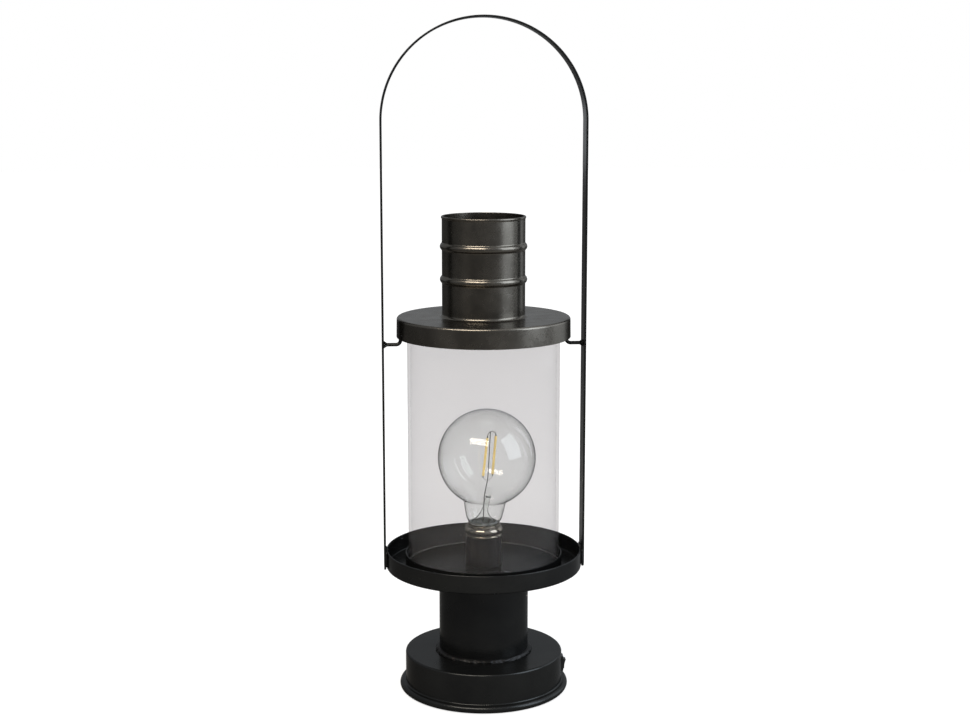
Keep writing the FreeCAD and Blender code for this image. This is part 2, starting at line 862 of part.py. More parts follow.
def make_holder_terminal_screws():
    """Two screws through the core, which carry the leads below it."""
    d = dims
    body = new_body("holder_terminal_screws", several=True)
    shank = new_sketch(body, "XY_Plane", d.sleeve_ledge - d.terminal_below)
    head = new_sketch(body, "XY_Plane", d.core_floor)
    draw_circle(shank, d.terminal_offset, 0, d.screw_radius)
    draw_circle(head, d.terminal_offset, 0, d.terminal_head_radius)
    shank_pad = add_pad(body, shank, d.core_floor - d.sleeve_ledge + d.terminal_below)
    head_pad = add_pad(body, head, d.terminal_head_height)
    mirror_across_yz(body, [shank_pad, head_pad])


def make_holder_nipple():
    """Hollow threaded tube that clamps the lampholder to the tray and lets the leads through."""
    d = dims
    edge = d.nipple_edge
    turned("holder_nipple", [
        corner(d.nipple_bore, d.nipple_bottom),
        corner(d.nipple_radius - edge, d.nipple_bottom),
        corner(d.nipple_radius, d.nipple_bottom + edge),
        corner(d.nipple_radius, d.nipple_top - edge),
        corner(d.nipple_radius - edge, d.nipple_top),
        corner(d.nipple_bore, d.nipple_top),
    ])


def make_nipple_washer():
    """Flat washer under the tray."""
    d = dims
    bottom = d.tray_bottom - d.steel_wall
    hole = d.nipple_radius + d.nipple_play
    turned("nipple_washer", rectangle(hole, bottom, d.washer_radius, d.tray_bottom))


def make_nipple_nuts():
    """Two thin hexagon nuts: one in the sleeve and one under the washer."""
    d = dims
    nuts = []
    under_washer = d.tray_bottom - d.steel_wall - d.nut_height
    in_sleeve = d.tray_floor + d.sleeve_floor
    for name, bottom in (("lower_nut", under_washer), ("upper_nut", in_sleeve)):
        hexagon = doc.addObject("Part::Prism", name + "_hexagon")
        hexagon.Polygon = 6
        place(hexagon, "Circumradius", d.nut_flats / 2 / math.cos(math.pi / 6))
        place(hexagon, "Height", d.nut_height)
        place(hexagon, "Placement.Base.z", bottom)
        bore = cylinder(name + "_bore", d.nipple_radius + hole_clearance, d.nut_height, bottom)
        nuts.append(cut(name, hexagon, bore))
    keep("nipple_nuts", compound("nipple_nuts", nuts))


# ---- bulb ----

def make_bulb_glass():
    """Blown globe with a neck that narrows into the screw cap, thin walled and open below."""
    d = dims
    outer = bulb_outline(0)
    inner = bulb_outline(d.bulb_glass)
    inner_corners = []
    for i in range(len(inner) - 1, -1, -1):
        across, up = inner[i][0], inner[i][1]
        bow = inner[i + 1][2] if i + 1 < len(inner) else None
        inward = None if i + 1 >= len(inner) else not inner[i + 1][3]
        inner_corners.append(corner(across, up, bow=bow, inward=bool(inward)))
    outer_corners = [corner(x, y, bow=bow, inward=inward) for x, y, bow, inward in outer]
    turned("bulb_glass", outer_corners + inner_corners)


def bulb_outline(inset):
    """Points of the bulb's section from the foot of the neck to the top: x, z, bow, inward."""
    d = dims
    angle = math.radians(bulb_join_angle)
    radius = d.bulb_radius - inset
    join_x = radius * math.sin(angle)
    join_z = d.bulb_centre - radius * math.cos(angle)
    foot = d.neck_foot
    return [
        (d.neck_radius - inset, foot, None, False),
        (d.neck_radius - inset, foot + d.neck_collar, None, False),
        (d.shoulder_radius - inset, foot + d.shoulder_rise, None, False),
        (d.throat_radius - inset, foot + d.throat_rise, None, False),
        (join_x - d.crease_inset, join_z - d.crease_drop, None, False),
        (join_x, join_z, d.crease_bow + inset, True),
        (as_size(0), d.bulb_centre + radius, radius, False),
    ]


def make_bulb_cap():
    """Screw cap: thin shell with a flared rim round the neck, open inside."""
    d = dims
    foot = d.bulb_tip + d.bulb_cap_foot
    thread_foot = d.bulb_tip + d.bulb_thread_foot
    thread_top = d.bulb_tip + d.bulb_thread_top
    shoulder = thread_top + d.bulb_rim_rise
    rim_inner = d.bulb_rim_radius - d.bulb_cap_sheet
    turned("bulb_cap", [
        corner(d.bulb_cap_foot_bore, foot),
        corner(d.bulb_cap_foot_bore + d.bulb_cap_sheet, foot),
        corner(d.bulb_thread, thread_foot),
        corner(d.bulb_thread, thread_top),
        corner(d.bulb_rim_radius, shoulder),
        corner(d.bulb_rim_radius, d.bulb_rim_top),
        corner(rim_inner, d.bulb_rim_top),
        corner(rim_inner, shoulder + d.bulb_cap_sheet),
        corner(d.bulb_cap_bore, thread_top + d.bulb_cap_sheet),
        corner(d.bulb_cap_bore, thread_foot),
    ])


def make_bulb_insulator():
    """Dark glass cone that carries the centre contact."""
    d = dims
    foot = d.bulb_tip + d.contact_height
    seat = d.bulb_tip + d.bulb_cap_foot
    turned("bulb_insulator", [
        corner(0, foot),
        corner(d.insulator_foot, foot),
        corner(d.bulb_cap_foot_bore, seat),
        corner(d.bulb_cap_foot_bore, seat + d.insulator_lip),
        corner(0, seat + d.insulator_lip),
    ])


def make_bulb_contact():
    """Solder button at the tip of the bulb."""
    d = dims
    top = d.bulb_tip + d.contact_height
    turned("bulb_contact", [
        corner(0, d.bulb_tip),
        corner(d.contact_tip, d.bulb_tip),
        corner(d.contact_radius, top, bow=d.contact_bow),
        corner(0, top),
    ])


def make_bulb_stem():
    """Glass stem: a flare sealed to the neck, a tube and the rounded pinch that holds the wires."""
    d = dims
    foot = d.neck_foot + d.stem_flare_foot
    turned("bulb_stem", [
        corner(0, foot),
        corner(d.stem_flare_radius, foot),
        corner(d.stem_flare_radius, foot + d.stem_flare_lip),
        corner(d.stem_waist_radius, d.neck_foot + d.stem_waist_rise, bow=d.stem_flare_bow, inward=True),
        corner(d.stem_tube_radius, d.neck_foot + d.stem_tube_rise),
        corner(d.stem_tube_radius, d.stem_top - d.stem_tube_radius),
        corner(0, d.stem_top, bow=d.stem_tube_radius),
    ])


def rod(name, start, end, radius):
    """A straight round bar from one point to another."""
    start, end = FreeCAD.Vector(*start), FreeCAD.Vector(*end)
    item = doc.addObject("Part::Cylinder", name)
    item.Height = (end - start).Length
    place(item, "Radius", radius)
    turn = FreeCAD.Rotation(FreeCAD.Vector(0, 0, 1), end - start)
    item.Placement = FreeCAD.Placement(start, turn)
    return item


filament_feet = ((-3.0, -2.5, 211.0), (6.5, 2.5, 212.0))
filament_lean = ((2.6, 0.0), (1.6, 0.0))


def filament_ends(foot, lean):
    """Lower and upper end of a filament that leans by lean over its length."""
    length = dims.filament_length.number
    rise = math.sqrt(length ** 2 - lean[0] ** 2 - lean[1] ** 2)
    return foot, (foot[0] + lean[0], foot[1] + lean[1], foot[2] + rise)


def make_bulb_filaments():
    """Two straight filament sticks beside the support wire."""
    sticks = []
    for number, (foot, lean) in enumerate(zip(filament_feet, filament_lean)):
        start, end = filament_ends(foot, lean)
        sticks.append(rod("filament_%d" % number, start, end, dims.filament_radius))
    keep("bulb_filaments", compound("bulb_filaments", sticks))


def make_bulb_support_wires():
    """Wire beside the stem up to the filament tops, and two short ones from their feet."""
    wire = dims.support_wire
    foot = (-0.9, -4.3, 174.5)
    shoulder = (-1.2, -4.3, 192.0)
    bend = (2.0, 0.0, 211.0)
    head = (2.4, 0.0, 256.0)
    runs = [(foot, shoulder), (shoulder, bend), (bend, head)]
    for foot, lean in zip(filament_feet, filament_lean):
        start, end = filament_ends(foot, lean)
        tip = (end[0], end[1], end[2] + 0.1)
        seat = (start[0], start[1], start[2] - 0.1)
        runs.append((head, tip))
        runs.append((seat, (0.7 * seat[0] / 3, seat[1] / 3, 196.0)))
    pieces = [rod("wire_%d" % number, start, end, wire) for number, (start, end) in enumerate(runs)]
    for number, joint in enumerate((shoulder, bend, head)):
        ball = doc.addObject("Part::Sphere", "wire_bend_%d" % number)
        place(ball, "Radius", wire)
        ball.Placement.Base = FreeCAD.Vector(*joint)
        pieces.append(ball)
    fused = doc.addObject("Part::MultiFuse", "bulb_support_wires")
    fused.Shapes = pieces
    keep("bulb_support_wires", fused)


def make_bulb_driver():
    """Small driver board with its capacitor, inside the bulb's cap."""
    d = dims
    foot = d.bulb_tip + d.driver_foot
    board = doc.addObject("Part::Box", "driver_board")
    for side, size in (("Length", d.driver_length), ("Width", d.driver_width), ("Height", d.driver_height)):
        place(board, side, size)
    place(board, "Placement.Base.x", -(d.driver_length / 2))
    place(board, "Placement.Base.y", -d.driver_width)
    place(board, "Placement.Base.z", foot)
    capacitor = cylinder("driver_capacitor", d.capacitor_radius, d.capacitor_length,
                         foot + d.capacitor_rise, 0, d.capacitor_offset)
    fused = doc.addObject("Part::MultiFuse", "bulb_driver")
    fused.Shapes = [board, capacitor]
    keep("bulb_driver", fused)


# ---- glass and cap ----

def make_glass_cylinder():
    """Clear tube that stands in the gallery and carries the cap, edges melted round."""
    d = dims
    inner = d.glass_radius - d.glass_wall
    top = d.cap_top - d.cap_sheet
    soft = d.glass_wall * 0.3
    turned("glass_cylinder", rectangle(inner, d.tray_floor, d.glass_radius, top, round=soft))


def make_cap():
    """Pressed lid with a skirt, open in the middle below the chimney."""
    d = dims
    bore = d.chimney_radius - d.chimney_wall
    under = d.cap_top - d.cap_sheet
    skirt = d.cap_radius - d.cap_skirt
    turned("cap", [
        corner(bore, under),
        corner(skirt, under, round=d.cap_edge_round - d.cap_skirt),
        corner(skirt + d.cap_skirt_flare, d.skirt_bottom, round=d.cap_skirt * 0.3),
        corner(d.cap_radius + d.cap_skirt_flare, d.skirt_bottom, round=d.cap_skirt * 0.3),
        corner(d.cap_radius, d.cap_top, round=d.cap_edge_round),
        corner(bore, d.cap_top),
    ])


def make_chimney():
    """Open tube with two rolled beads, a turned rim and a filleted foot welded to the cap."""
    d = dims
    outer = d.chimney_radius
    inner = outer - d.chimney_wall
    rim_foot = d.chimney_top - d.chimney_rim_height
    beads = (d.lower_bead, d.upper_bead)
    corners = [
        corner(inner, d.cap_top),
        corner(outer + d.chimney_foot, d.cap_top),
        corner(outer, d.cap_top + d.chimney_foot, bow=d.chimney_foot, inward=True),
    ]
    for middle in beads:
        corners.append(corner(outer, middle - d.bead_height / 2))
        corners.append(corner(outer, middle + d.bead_height / 2, bow=bow_radius(d.bead_height, d.bead_rise)))
    corners.append(corner(outer, rim_foot))
    corners.append(corner(outer + d.chimney_rim, rim_foot + d.chimney_rim))
    corners.append(corner(outer + d.chimney_rim, d.chimney_top, round=d.chimney_rim))
    corners.append(corner(inner, d.chimney_top, round=d.chimney_wall * 0.3))
    for middle in reversed(beads):
        half = d.bead_height / 2 - d.chimney_wall * 0.3
        hollow = bow_radius(half * 2, d.bead_rise - d.chimney_wall * 0.2)
        corners.append(corner(inner, middle + half))
        corners.append(corner(inner, middle - half, bow=hollow, inward=True))
    turned("chimney", corners)


# ---- switch ----

def make_switch_housing():
    """Frame and body of the rocker switch, pushed through the wall of the base pan."""
    d = dims
    back = d.base_radius + d.bezel_gap
    body = new_body("switch_housing")
    half_width, half_length = d.bezel_width / 2, d.bezel_length / 2
    frame = new_sketch(body, "YZ_Plane", back)
    low, high = d.switch_height - half_length, d.switch_height + half_length
    draw_profile(frame, rectangle(-half_width, low, half_width, high, round=d.bezel_round))
    add_pad(body, frame, d.bezel_face)
    trunk = new_sketch(body, "YZ_Plane", back)
    half_width, half_length = d.switch_body_width / 2, d.switch_body_length / 2
    low, high = d.switch_height - half_length, d.switch_height + half_length
    draw_profile(trunk, rectangle(-half_width, low, half_width, high))
    add_pad(body, trunk, d.switch_body_depth, reverse=True)
    cavity = new_sketch(body, "YZ_Plane", back + d.bezel_face)
    half_width = d.rocker_width / 2 + d.rocker_side_gap
    half_length = half_length - d.switch_wall
    low, high = d.switch_height - half_length, d.switch_height + half_length
    draw_profile(cavity, rectangle(-half_width, low, half_width, high))
    add_pocket(body, cavity, d.bezel_face + d.rocker_cavity)
    pins = new_sketch(body, "XZ_Plane")
    draw_circle(pins, d.rocker_pivot, d.switch_height, d.rocker_pin + d.rocker_pin_gap)
    add_pocket(body, pins, d.switch_body_width, midplane=True)


def make_switch_rocker():
    """Rocker with a hollow face and two pins, at rest with its lower half pressed in."""
    d = dims
    tip, half = d.rocker_tip, d.rocker_half_length
    edge, back = tip - d.rocker_edge, half - d.rocker_taper
    body = new_body("switch_rocker")
    sketch = new_sketch(body, "XZ_Plane")
    draw_profile(sketch, [
        corner(-d.rocker_back, -d.rocker_back_half),
        corner(edge, -back),
        corner(tip, -half, round=d.rocker_round),
        corner(tip - d.rocker_dish, 0),
        corner(tip, half, round=d.rocker_round),
        corner(edge, back),
        corner(-d.rocker_back, d.rocker_back_half),
    ])
    add_pad(body, sketch, d.rocker_width, midplane=True)
    pins = new_sketch(body, "XZ_Plane")
    draw_circle(pins, 0, 0, d.rocker_pin)
    add_pad(body, pins, d.switch_body_width - d.rocker_pin_inset, midplane=True)
    body.Placement.Rotation = FreeCAD.Rotation(FreeCAD.Vector(0, 1, 0), rocker_tilt)
    place(body, "Placement.Base.x", d.rocker_pivot)
    place(body, "Placement.Base.z", d.switch_height)


def make_switch_terminals():
    """Two flat blades at the back of the switch."""
    d = dims
    back = d.base_radius + d.bezel_gap - d.switch_body_depth
    body = new_body("switch_terminals", several=True)
    sketch = new_sketch(body, "YZ_Plane", back)
    for side in (1, -1):
        middle = d.switch_height + d.blade_spacing / 2 * side
        low, high = middle - d.blade_thickness / 2, middle + d.blade_thickness / 2
        draw_profile(sketch, rectangle(-(d.blade_width / 2), low, d.blade_width / 2, high))
    add_pad(body, sketch, d.blade_length, reverse=True)


# ---- cord inlet and wiring ----

def make_cord_grommet():
    """Rubber bush in the back wall of the base, open for the mains cord."""
    d = dims
    groove = d.inlet_hole - d.grommet_groove_play
    body = turned("cord_grommet", [
        corner(d.inlet_bore, -d.grommet_depth, round=d.grommet_soft_edge),
        corner(d.grommet_inner_radius, -d.grommet_depth, round=d.grommet_soft_edge),
        corner(d.grommet_inner_radius, -d.grommet_groove_back),
        corner(groove, -d.grommet_groove_back),
        corner(groove, d.grommet_groove_front),
        corner(d.grommet_flange_radius, d.grommet_groove_front),
        corner(d.grommet_flange_radius, d.grommet_flange),
        corner(d.grommet_nose_radius, d.grommet_nose, bow=d.grommet_bow),
        corner(d.inlet_bore, d.grommet_nose, round=d.grommet_soft_edge),
    ])
    body.Placement.Rotation = FreeCAD.Rotation(FreeCAD.Vector(1, 0, 0), -90)
    place(body, "Placement.Base.y", d.base_radius)
    place(body, "Placement.Base.z", d.inlet_height)


def make_terminal_block():
    """Two-pole block on the cover, where the cord's cores are joined."""
    d = dims
    bottom = d.cover_bottom + d.cover_thickness
    body = new_body("terminal_block")
    sketch = new_sketch(body, "XY_Plane", bottom)
    side = d.block_width - d.block_pole
    draw_profile(sketch, rectangle(-(d.block_place + d.block_length), -(side / 2),
                                   -d.block_place, side / 2 + d.block_pole, round=d.block_round))
    add_pad(body, sketch, d.block_height)
    poles = new_sketch(body, "YZ_Plane", -(d.block_place + d.block_length))
    wells = new_sketch(body, "XY_Plane", bottom + d.block_height)
    wire_hole = d.lead_radius + d.block_wire_play
    for number in range(2):
        draw_circle(poles, d.block_pole * number, bottom + d.block_height / 2, wire_hole)
        draw_circle(wells, -(d.block_place + d.block_length / 2), d.block_pole * number, d.block_well)
    add_pocket(body, poles, d.block_length, reverse=True)
    add_pocket(body, wells, d.block_height / 2)


def make_lead(label, side, end, level):
    """Insulated wire from the lampholder down the column and across the base."""
    d = dims
    top = d.sleeve_ledge - 2.4
    screw = (d.terminal_offset - d.screw_radius) * side
    down = d.lead_offset * side
    route = [
        (screw, top, None),
        (down, top, d.lead_radius * 2),
        (down, level, d.lead_bend),
        (end * side, level, None),
    ]
    body = new_body(label)
    swept(body, route, d.lead_radius, "XZ_Plane", "YZ_Plane", screw, (0, top))


def make_leads():
    d = dims
    blade = d.base_radius + d.bezel_gap - d.switch_body_depth - d.blade_length
    upper_blade = d.switch_height + d.blade_spacing / 2
    pole = d.cover_bottom + d.cover_thickness + d.block_height / 2
    make_lead("lead_live", 1, blade, upper_blade)
    make_lead("lead_neutral", -1, d.block_place + d.lead_into_block, pole)


def write_parts():
    """Checks every object and writes each sub-part to its own file."""
    doc.recompute()
    failed = [item.Name for item in doc.Objects if "Invalid" in item.State or "Error" in item.State]
    if failed:
        raise RuntimeError("failed: " + ", ".join(failed))
    os.makedirs("parts", exist_ok=True)
    for item in sub_parts:
        if item.Shape.isNull() or not item.Shape.isValid():
            raise RuntimeError(item.Label + " has no valid shape")
        item.Shape.exportStep("parts/" + item.Label + ".step")
        print(item.Label, len(item.Shape.Solids), round(item.Shape.Volume, 1))


make_base_pan()
make_base_cover()
make_felt_pad()
make_cover_lugs()
make_cover_screws()
make_column()
make_tray()
make_glass_gallery()
make_handle_strap()
make_handle_welds()
make_cap_arm("cap_arm_left", -1)
make_cap_arm("cap_arm_right", 1)
make_holder_sleeve()
make_holder_rim_ring()
make_holder_core()
make_holder_screw_shell()
make_holder_centre_contact()
make_holder_terminal_screws()
make_holder_nipple()
make_nipple_washer()
make_nipple_nuts()
make_bulb_glass()
make_bulb_cap()
make_bulb_insulator()
make_bulb_contact()
make_bulb_stem()
make_bulb_filaments()
make_bulb_support_wires()
make_bulb_driver()
make_glass_cylinder()
make_cap()
make_chimney()
make_switch_housing()
make_switch_rocker()
make_switch_terminals()
make_cord_grommet()
make_terminal_block()
make_leads()
write_parts()
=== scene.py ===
import json
import math

import bmesh
import bpy
from mathutils import Euler, Matrix, Vector, noise


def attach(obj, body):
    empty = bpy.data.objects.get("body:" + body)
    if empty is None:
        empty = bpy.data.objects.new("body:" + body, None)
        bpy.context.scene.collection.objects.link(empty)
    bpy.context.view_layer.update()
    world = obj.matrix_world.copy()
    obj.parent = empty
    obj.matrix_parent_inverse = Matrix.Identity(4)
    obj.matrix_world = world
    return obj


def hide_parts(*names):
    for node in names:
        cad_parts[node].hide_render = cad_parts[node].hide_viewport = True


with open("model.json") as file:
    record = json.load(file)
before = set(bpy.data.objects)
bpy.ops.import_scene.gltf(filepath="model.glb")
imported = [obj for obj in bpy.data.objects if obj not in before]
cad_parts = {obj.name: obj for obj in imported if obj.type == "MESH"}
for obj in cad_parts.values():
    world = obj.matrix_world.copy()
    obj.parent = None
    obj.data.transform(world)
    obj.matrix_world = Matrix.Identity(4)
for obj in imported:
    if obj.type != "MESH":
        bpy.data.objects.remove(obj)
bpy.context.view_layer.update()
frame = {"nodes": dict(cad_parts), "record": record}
nodes = frame["nodes"]
scene = bpy.context.scene
mm = 0.001
fullTurn = 2 * math.pi
mergeGap = 0.000001  # metres: vertices closer than this become one
sharpAngle = math.radians(32)  # faces that meet more sharply than this keep their edge


def tone(red, green, blue):
    # a colour as it reads on screen, 0 to 255, turned into the light values that shaders want
    return tuple(((part / 255 + 0.055) / 1.055) ** 2.4 for part in (red, green, blue)) + (1,)


def fillSocket(tree, socket, content):
    # a socket takes a link or a plain value
    if isinstance(content, bpy.types.NodeSocket):
        tree.links.new(content, socket)
    else:
        socket.default_value = content


def nodeTools(owner):
    # add() makes a node and fills its sockets by name, with _ for a space
    tree = owner.node_tree
    tree.nodes.clear()

    def add(kind, **sockets):
        node = tree.nodes.new("ShaderNode" + kind)
        for name, content in sockets.items():
            fillSocket(tree, node.inputs[name.replace("_", " ")], content)
        return node
    return tree, add


def mathNode(tree, operation, first, second):
    node = tree.nodes.new("ShaderNodeMath")
    node.operation = operation
    fillSocket(tree, node.inputs[0], first)
    fillSocket(tree, node.inputs[1], second)
    return node.outputs[0]


def vectorNode(tree, operation, vector, other=(0, 0, 0)):
    # a length or a dot product is a plain number, so it leaves by another socket
    node = tree.nodes.new("ShaderNodeVectorMath")
    node.operation = operation
    fillSocket(tree, node.inputs[0], vector)
    fillSocket(tree, node.inputs[1], other)
    return node.outputs["Value" if operation in ("LENGTH", "DOT_PRODUCT") else "Vector"]


def colourMix(tree, share, first, second):
    node = tree.nodes.new("ShaderNodeMix")
    node.data_type = "RGBA"
    for number, content in ((0, share), (6, first), (7, second)):  # the colour sockets are numbers 6 and 7
        fillSocket(tree, node.inputs[number], content)
    return node.outputs[2]


def shaderMix(tree, share, first, second):
    node = tree.nodes.new("ShaderNodeMixShader")
    for socket, content in zip(node.inputs, (share, first, second)):
        fillSocket(tree, socket, content)
    return node.outputs["Shader"]


def rangeNode(add, value, source, target):
    # carries a value from one range of numbers to another, and holds it there
    node = add("MapRange", Value=value, From_Min=source[0], From_Max=source[1],
               To_Min=target[0], To_Max=target[1])
    return node.outputs["Result"]


def surfaceMix(tree, add, look):
    # cloudy colour, broken gloss and fine grain, all from noise in the object's own space
    coords = add("TexCoord").outputs["Object"]
    cloud = add("TexNoise", Vector=coords, Scale=look["cloud"], Detail=6, Roughness=0.62)
    patches = rangeNode(add, cloud.outputs["Fac"], look.get("patches", (0.34, 0.66)), (0, 1))
    colour = colourMix(tree, patches, look["dark"], look["light"])
    smear = add("TexNoise", Vector=coords, Scale=look["cloud"] * 3.1, Detail=4, Roughness=0.7)
    gloss = rangeNode(add, smear.outputs["Fac"], (0.3, 0.7), look["gloss"])
    grain = add("TexNoise", Vector=coords, Scale=look["grain"], Detail=3, Roughness=0.55)
    relief = add("Bump", Height=grain.outputs["Fac"], Strength=look["relief"],
                 Distance=look.get("depth", 0.0002))
    return colour, gloss, relief.outputs["Normal"]


def newMaterial(name):
    material = bpy.data.materials.new(name)
    material.use_nodes = True
    return (material, *nodeTools(material))


def finishOf(name, look):
    material, tree, add = newMaterial(name)
    colour, gloss, relief = surfaceMix(tree, add, look)
    edgeTint = (*(look.get("edgeShine", 1.0),) * 3, 1)
    shader = add("BsdfPrincipled", Base_Color=colour, Roughness=gloss, Normal=relief, IOR=1.5,
                 Metallic=look.get("metal", 0.0), Specular_IOR_Level=look.get("shine", 0.5),
                 Specular_Tint=edgeTint, Coat_Weight=look.get("coat", 0.0), Coat_Roughness=0.1,
                 Sheen_Weight=look.get("sheen", 0.0))
    add("OutputMaterial", Surface=shader.outputs["BSDF"])
    return material


def tubeTint(tree, add, look, colour):
    # only the outside of the tube is tinted, so the tint stays even up to its edges,
    # and the two cut ends show the green of the glass
    spot = add("TexCoord").outputs["Object"]
    reach = vectorNode(tree, "LENGTH", vectorNode(tree, "MULTIPLY", spot, (1, 1, 0)))
    outside = mathNode(tree, "GREATER_THAN", reach, look["skin"] * mm)
    level = add("SeparateXYZ", Vector=spot).outputs["Z"]
    ends = mathNode(tree, "MAXIMUM", mathNode(tree, "GREATER_THAN", level, look["ends"][1] * mm),
                    mathNode(tree, "LESS_THAN", level, look["ends"][0] * mm))
    return colourMix(tree, ends, colourMix(tree, outside, (1, 1, 1, 1), colour), look["endTone"])


def glassOf(name, look):
    # clear glass that lets the lamps' light through to what stands behind it
    material, tree, add = newMaterial(name)
    colour, gloss, relief = surfaceMix(tree, add, look)
    if "skin" in look:
        colour = tubeTint(tree, add, look, colour)
    shader = add("BsdfPrincipled", Base_Color=colour, Roughness=gloss, Normal=relief, IOR=look["ior"],
                 Transmission_Weight=look["clear"], Coat_Weight=look.get("coat", 0.0), Coat_Roughness=0.03)
    shadow = add("BsdfTransparent", Color=look["shade"])
    isShadow = add("LightPath").outputs["Is Shadow Ray"]
    add("OutputMaterial", Surface=shaderMix(tree, isShadow, shader.outputs["BSDF"], shadow.outputs["BSDF"]))
    return material


finishes = {
    "blackPaint": {"dark": tone(39, 40, 41), "light": tone(49, 50, 50), "cloud": 14, "gloss": (0.2, 0.28),
                   "grain": 900, "relief": 0.12, "metal": 0.8, "edgeShine": 0.55, "shine": 0.3},
    "sleevePaint": {"dark": tone(30, 30, 31), "light": tone(37, 37, 38), "cloud": 40, "gloss": (0.34, 0.4),
                    "grain": 500, "relief": 0.02, "metal": 0.5, "edgeShine": 0.55, "shine": 0.2},
    "bronzeLacquer": {"dark": tone(94, 90, 84), "light": tone(110, 106, 100), "cloud": 20,
                      "gloss": (0.22, 0.31), "grain": 700, "relief": 0.08, "metal": 1.0, "edgeShine": 0.6},
    "weldMetal": {"dark": tone(40, 40, 41), "light": tone(104, 92, 88), "cloud": 48, "patches": (0.6, 0.74),
                  "gloss": (0.34, 0.5), "grain": 1800, "relief": 0.25, "metal": 0.8, "edgeShine": 0.5},
    "nickelPlate": {"dark": tone(156, 150, 138), "light": tone(182, 176, 164), "cloud": 60,
                    "gloss": (0.04, 0.09), "grain": 1500, "relief": 0.03, "metal": 1.0, "edgeShine": 0.8},
    # a pale grey for the gallery's seam, a painted highlight line
    "paintedSeamHighlight": {"dark": tone(74, 74, 72), "light": tone(120, 118, 114), "cloud": 160,
                   "gloss": (0.35, 0.5), "grain": 1500, "relief": 0.3, "metal": 1.0, "edgeShine": 0.6},
    "zincPlate": {"dark": tone(140, 144, 150), "light": tone(186, 188, 190), "cloud": 180,
                  "gloss": (0.25, 0.42), "grain": 2500, "relief": 0.15, "metal": 1.0},
    "yellowBrass": {"dark": tone(176, 138, 70), "light": tone(210, 172, 98), "cloud": 120,
                    "gloss": (0.18, 0.32), "grain": 2500, "relief": 0.08, "metal": 1.0},
    "dullSolder": {"dark": tone(150, 150, 152), "light": tone(190, 190, 190), "cloud": 400,
                   "gloss": (0.35, 0.5), "grain": 2500, "relief": 0.3, "metal": 1.0},
    "steatite": {"dark": tone(214, 210, 200), "light": tone(232, 229, 221), "cloud": 90,
                 "gloss": (0.45, 0.6), "grain": 2600, "relief": 0.2},
    "darkGlass": {"dark": tone(14, 14, 18), "light": tone(24, 24, 30), "cloud": 120, "gloss": (0.08, 0.16),
                  "grain": 900, "relief": 0.05},
    "neckCement": {"dark": tone(44, 48, 49), "light": tone(122, 127, 128), "cloud": 200,
                   "gloss": (0.12, 0.35), "grain": 900, "relief": 0.3},
    "supportWire": {"dark": tone(44, 44, 40), "light": tone(70, 69, 64), "cloud": 300, "gloss": (0.3, 0.42),
                    "grain": 3000, "relief": 0.1, "metal": 1.0},
    "driverBoard": {"dark": tone(28, 84, 52), "light": tone(40, 104, 66), "cloud": 240,
                    "gloss": (0.3, 0.45), "grain": 3000, "relief": 0.15},
    "mouldedBlack": {"dark": tone(20, 20, 21), "light": tone(30, 30, 31), "cloud": 220,
                     "gloss": (0.3, 0.42), "grain": 3200, "relief": 0.25, "shine": 0.35},
    "blackRubber": {"dark": tone(20, 20, 20), "light": tone(34, 33, 32), "cloud": 150, "gloss": (0.6, 0.78),
                    "grain": 2600, "relief": 0.35, "shine": 0.3},
    "blackFelt": {"dark": tone(20, 20, 22), "light": tone(44, 44, 47), "cloud": 500, "gloss": (0.9, 1.0),
                  "grain": 2400, "relief": 0.9, "depth": 0.0006, "sheen": 0.4, "shine": 0.1},
    "naturalNylon": {"dark": tone(214, 210, 196), "light": tone(230, 227, 216), "cloud": 90,
                     "gloss": (0.4, 0.5), "grain": 2000, "relief": 0.1},
    "brownLead": {"dark": tone(84, 48, 24), "light": tone(104, 62, 34), "cloud": 90, "gloss": (0.35, 0.45),
                  "grain": 1800, "relief": 0.08},
    "blueLead": {"dark": tone(24, 62, 140), "light": tone(36, 80, 164), "cloud": 90, "gloss": (0.35, 0.45),
                 "grain": 1800, "relief": 0.08},
    "amberPhosphor": {"dark": tone(240, 204, 112), "light": tone(255, 232, 158), "cloud": 700,
                      "gloss": (0.32, 0.45), "grain": 4000, "relief": 0.3, "coat": 0.4},
}
# shade is the glass's colour to a lamp's light, skin and ends are in millimetres
glasses = {
    "clearGlass": {"dark": (0.568, 0.554, 0.558, 1), "light": (0.578, 0.564, 0.568, 1),
                   "shade": (0.8, 0.8, 0.8, 1), "cloud": 8, "gloss": (0.0, 0.02), "grain": 18, "relief": 0.02,
                   "depth": 0.001, "ior": 1.0, "clear": 0.985, "coat": 0.14, "skin": 71.8,
                   "ends": (124.7, 366.8), "endTone": (0.3, 0.38, 0.36, 1)},
    "bulbGlass": {"dark": (0.965, 0.975, 0.968, 1), "light": (0.98, 0.988, 0.982, 1),
                  "shade": (0.9, 0.9, 0.9, 1), "cloud": 20, "gloss": (0.0, 0.015), "grain": 40,
                  "relief": 0.03, "depth": 0.0005, "ior": 1.1, "clear": 1.0, "coat": 0.85},
    "stemGlass": {"dark": (0.965, 0.975, 0.965, 1), "light": (0.98, 0.985, 0.98, 1),
                  "shade": (0.9, 0.9, 0.9, 1), "cloud": 40, "gloss": (0.0, 0.02), "grain": 90, "relief": 0.05,
                  "depth": 0.0004, "ior": 1.1, "clear": 1.0},
}
looks = {name: finishOf(name, look) for name, look in finishes.items()}
looks.update({name: glassOf(name, look) for name, look in glasses.items()})

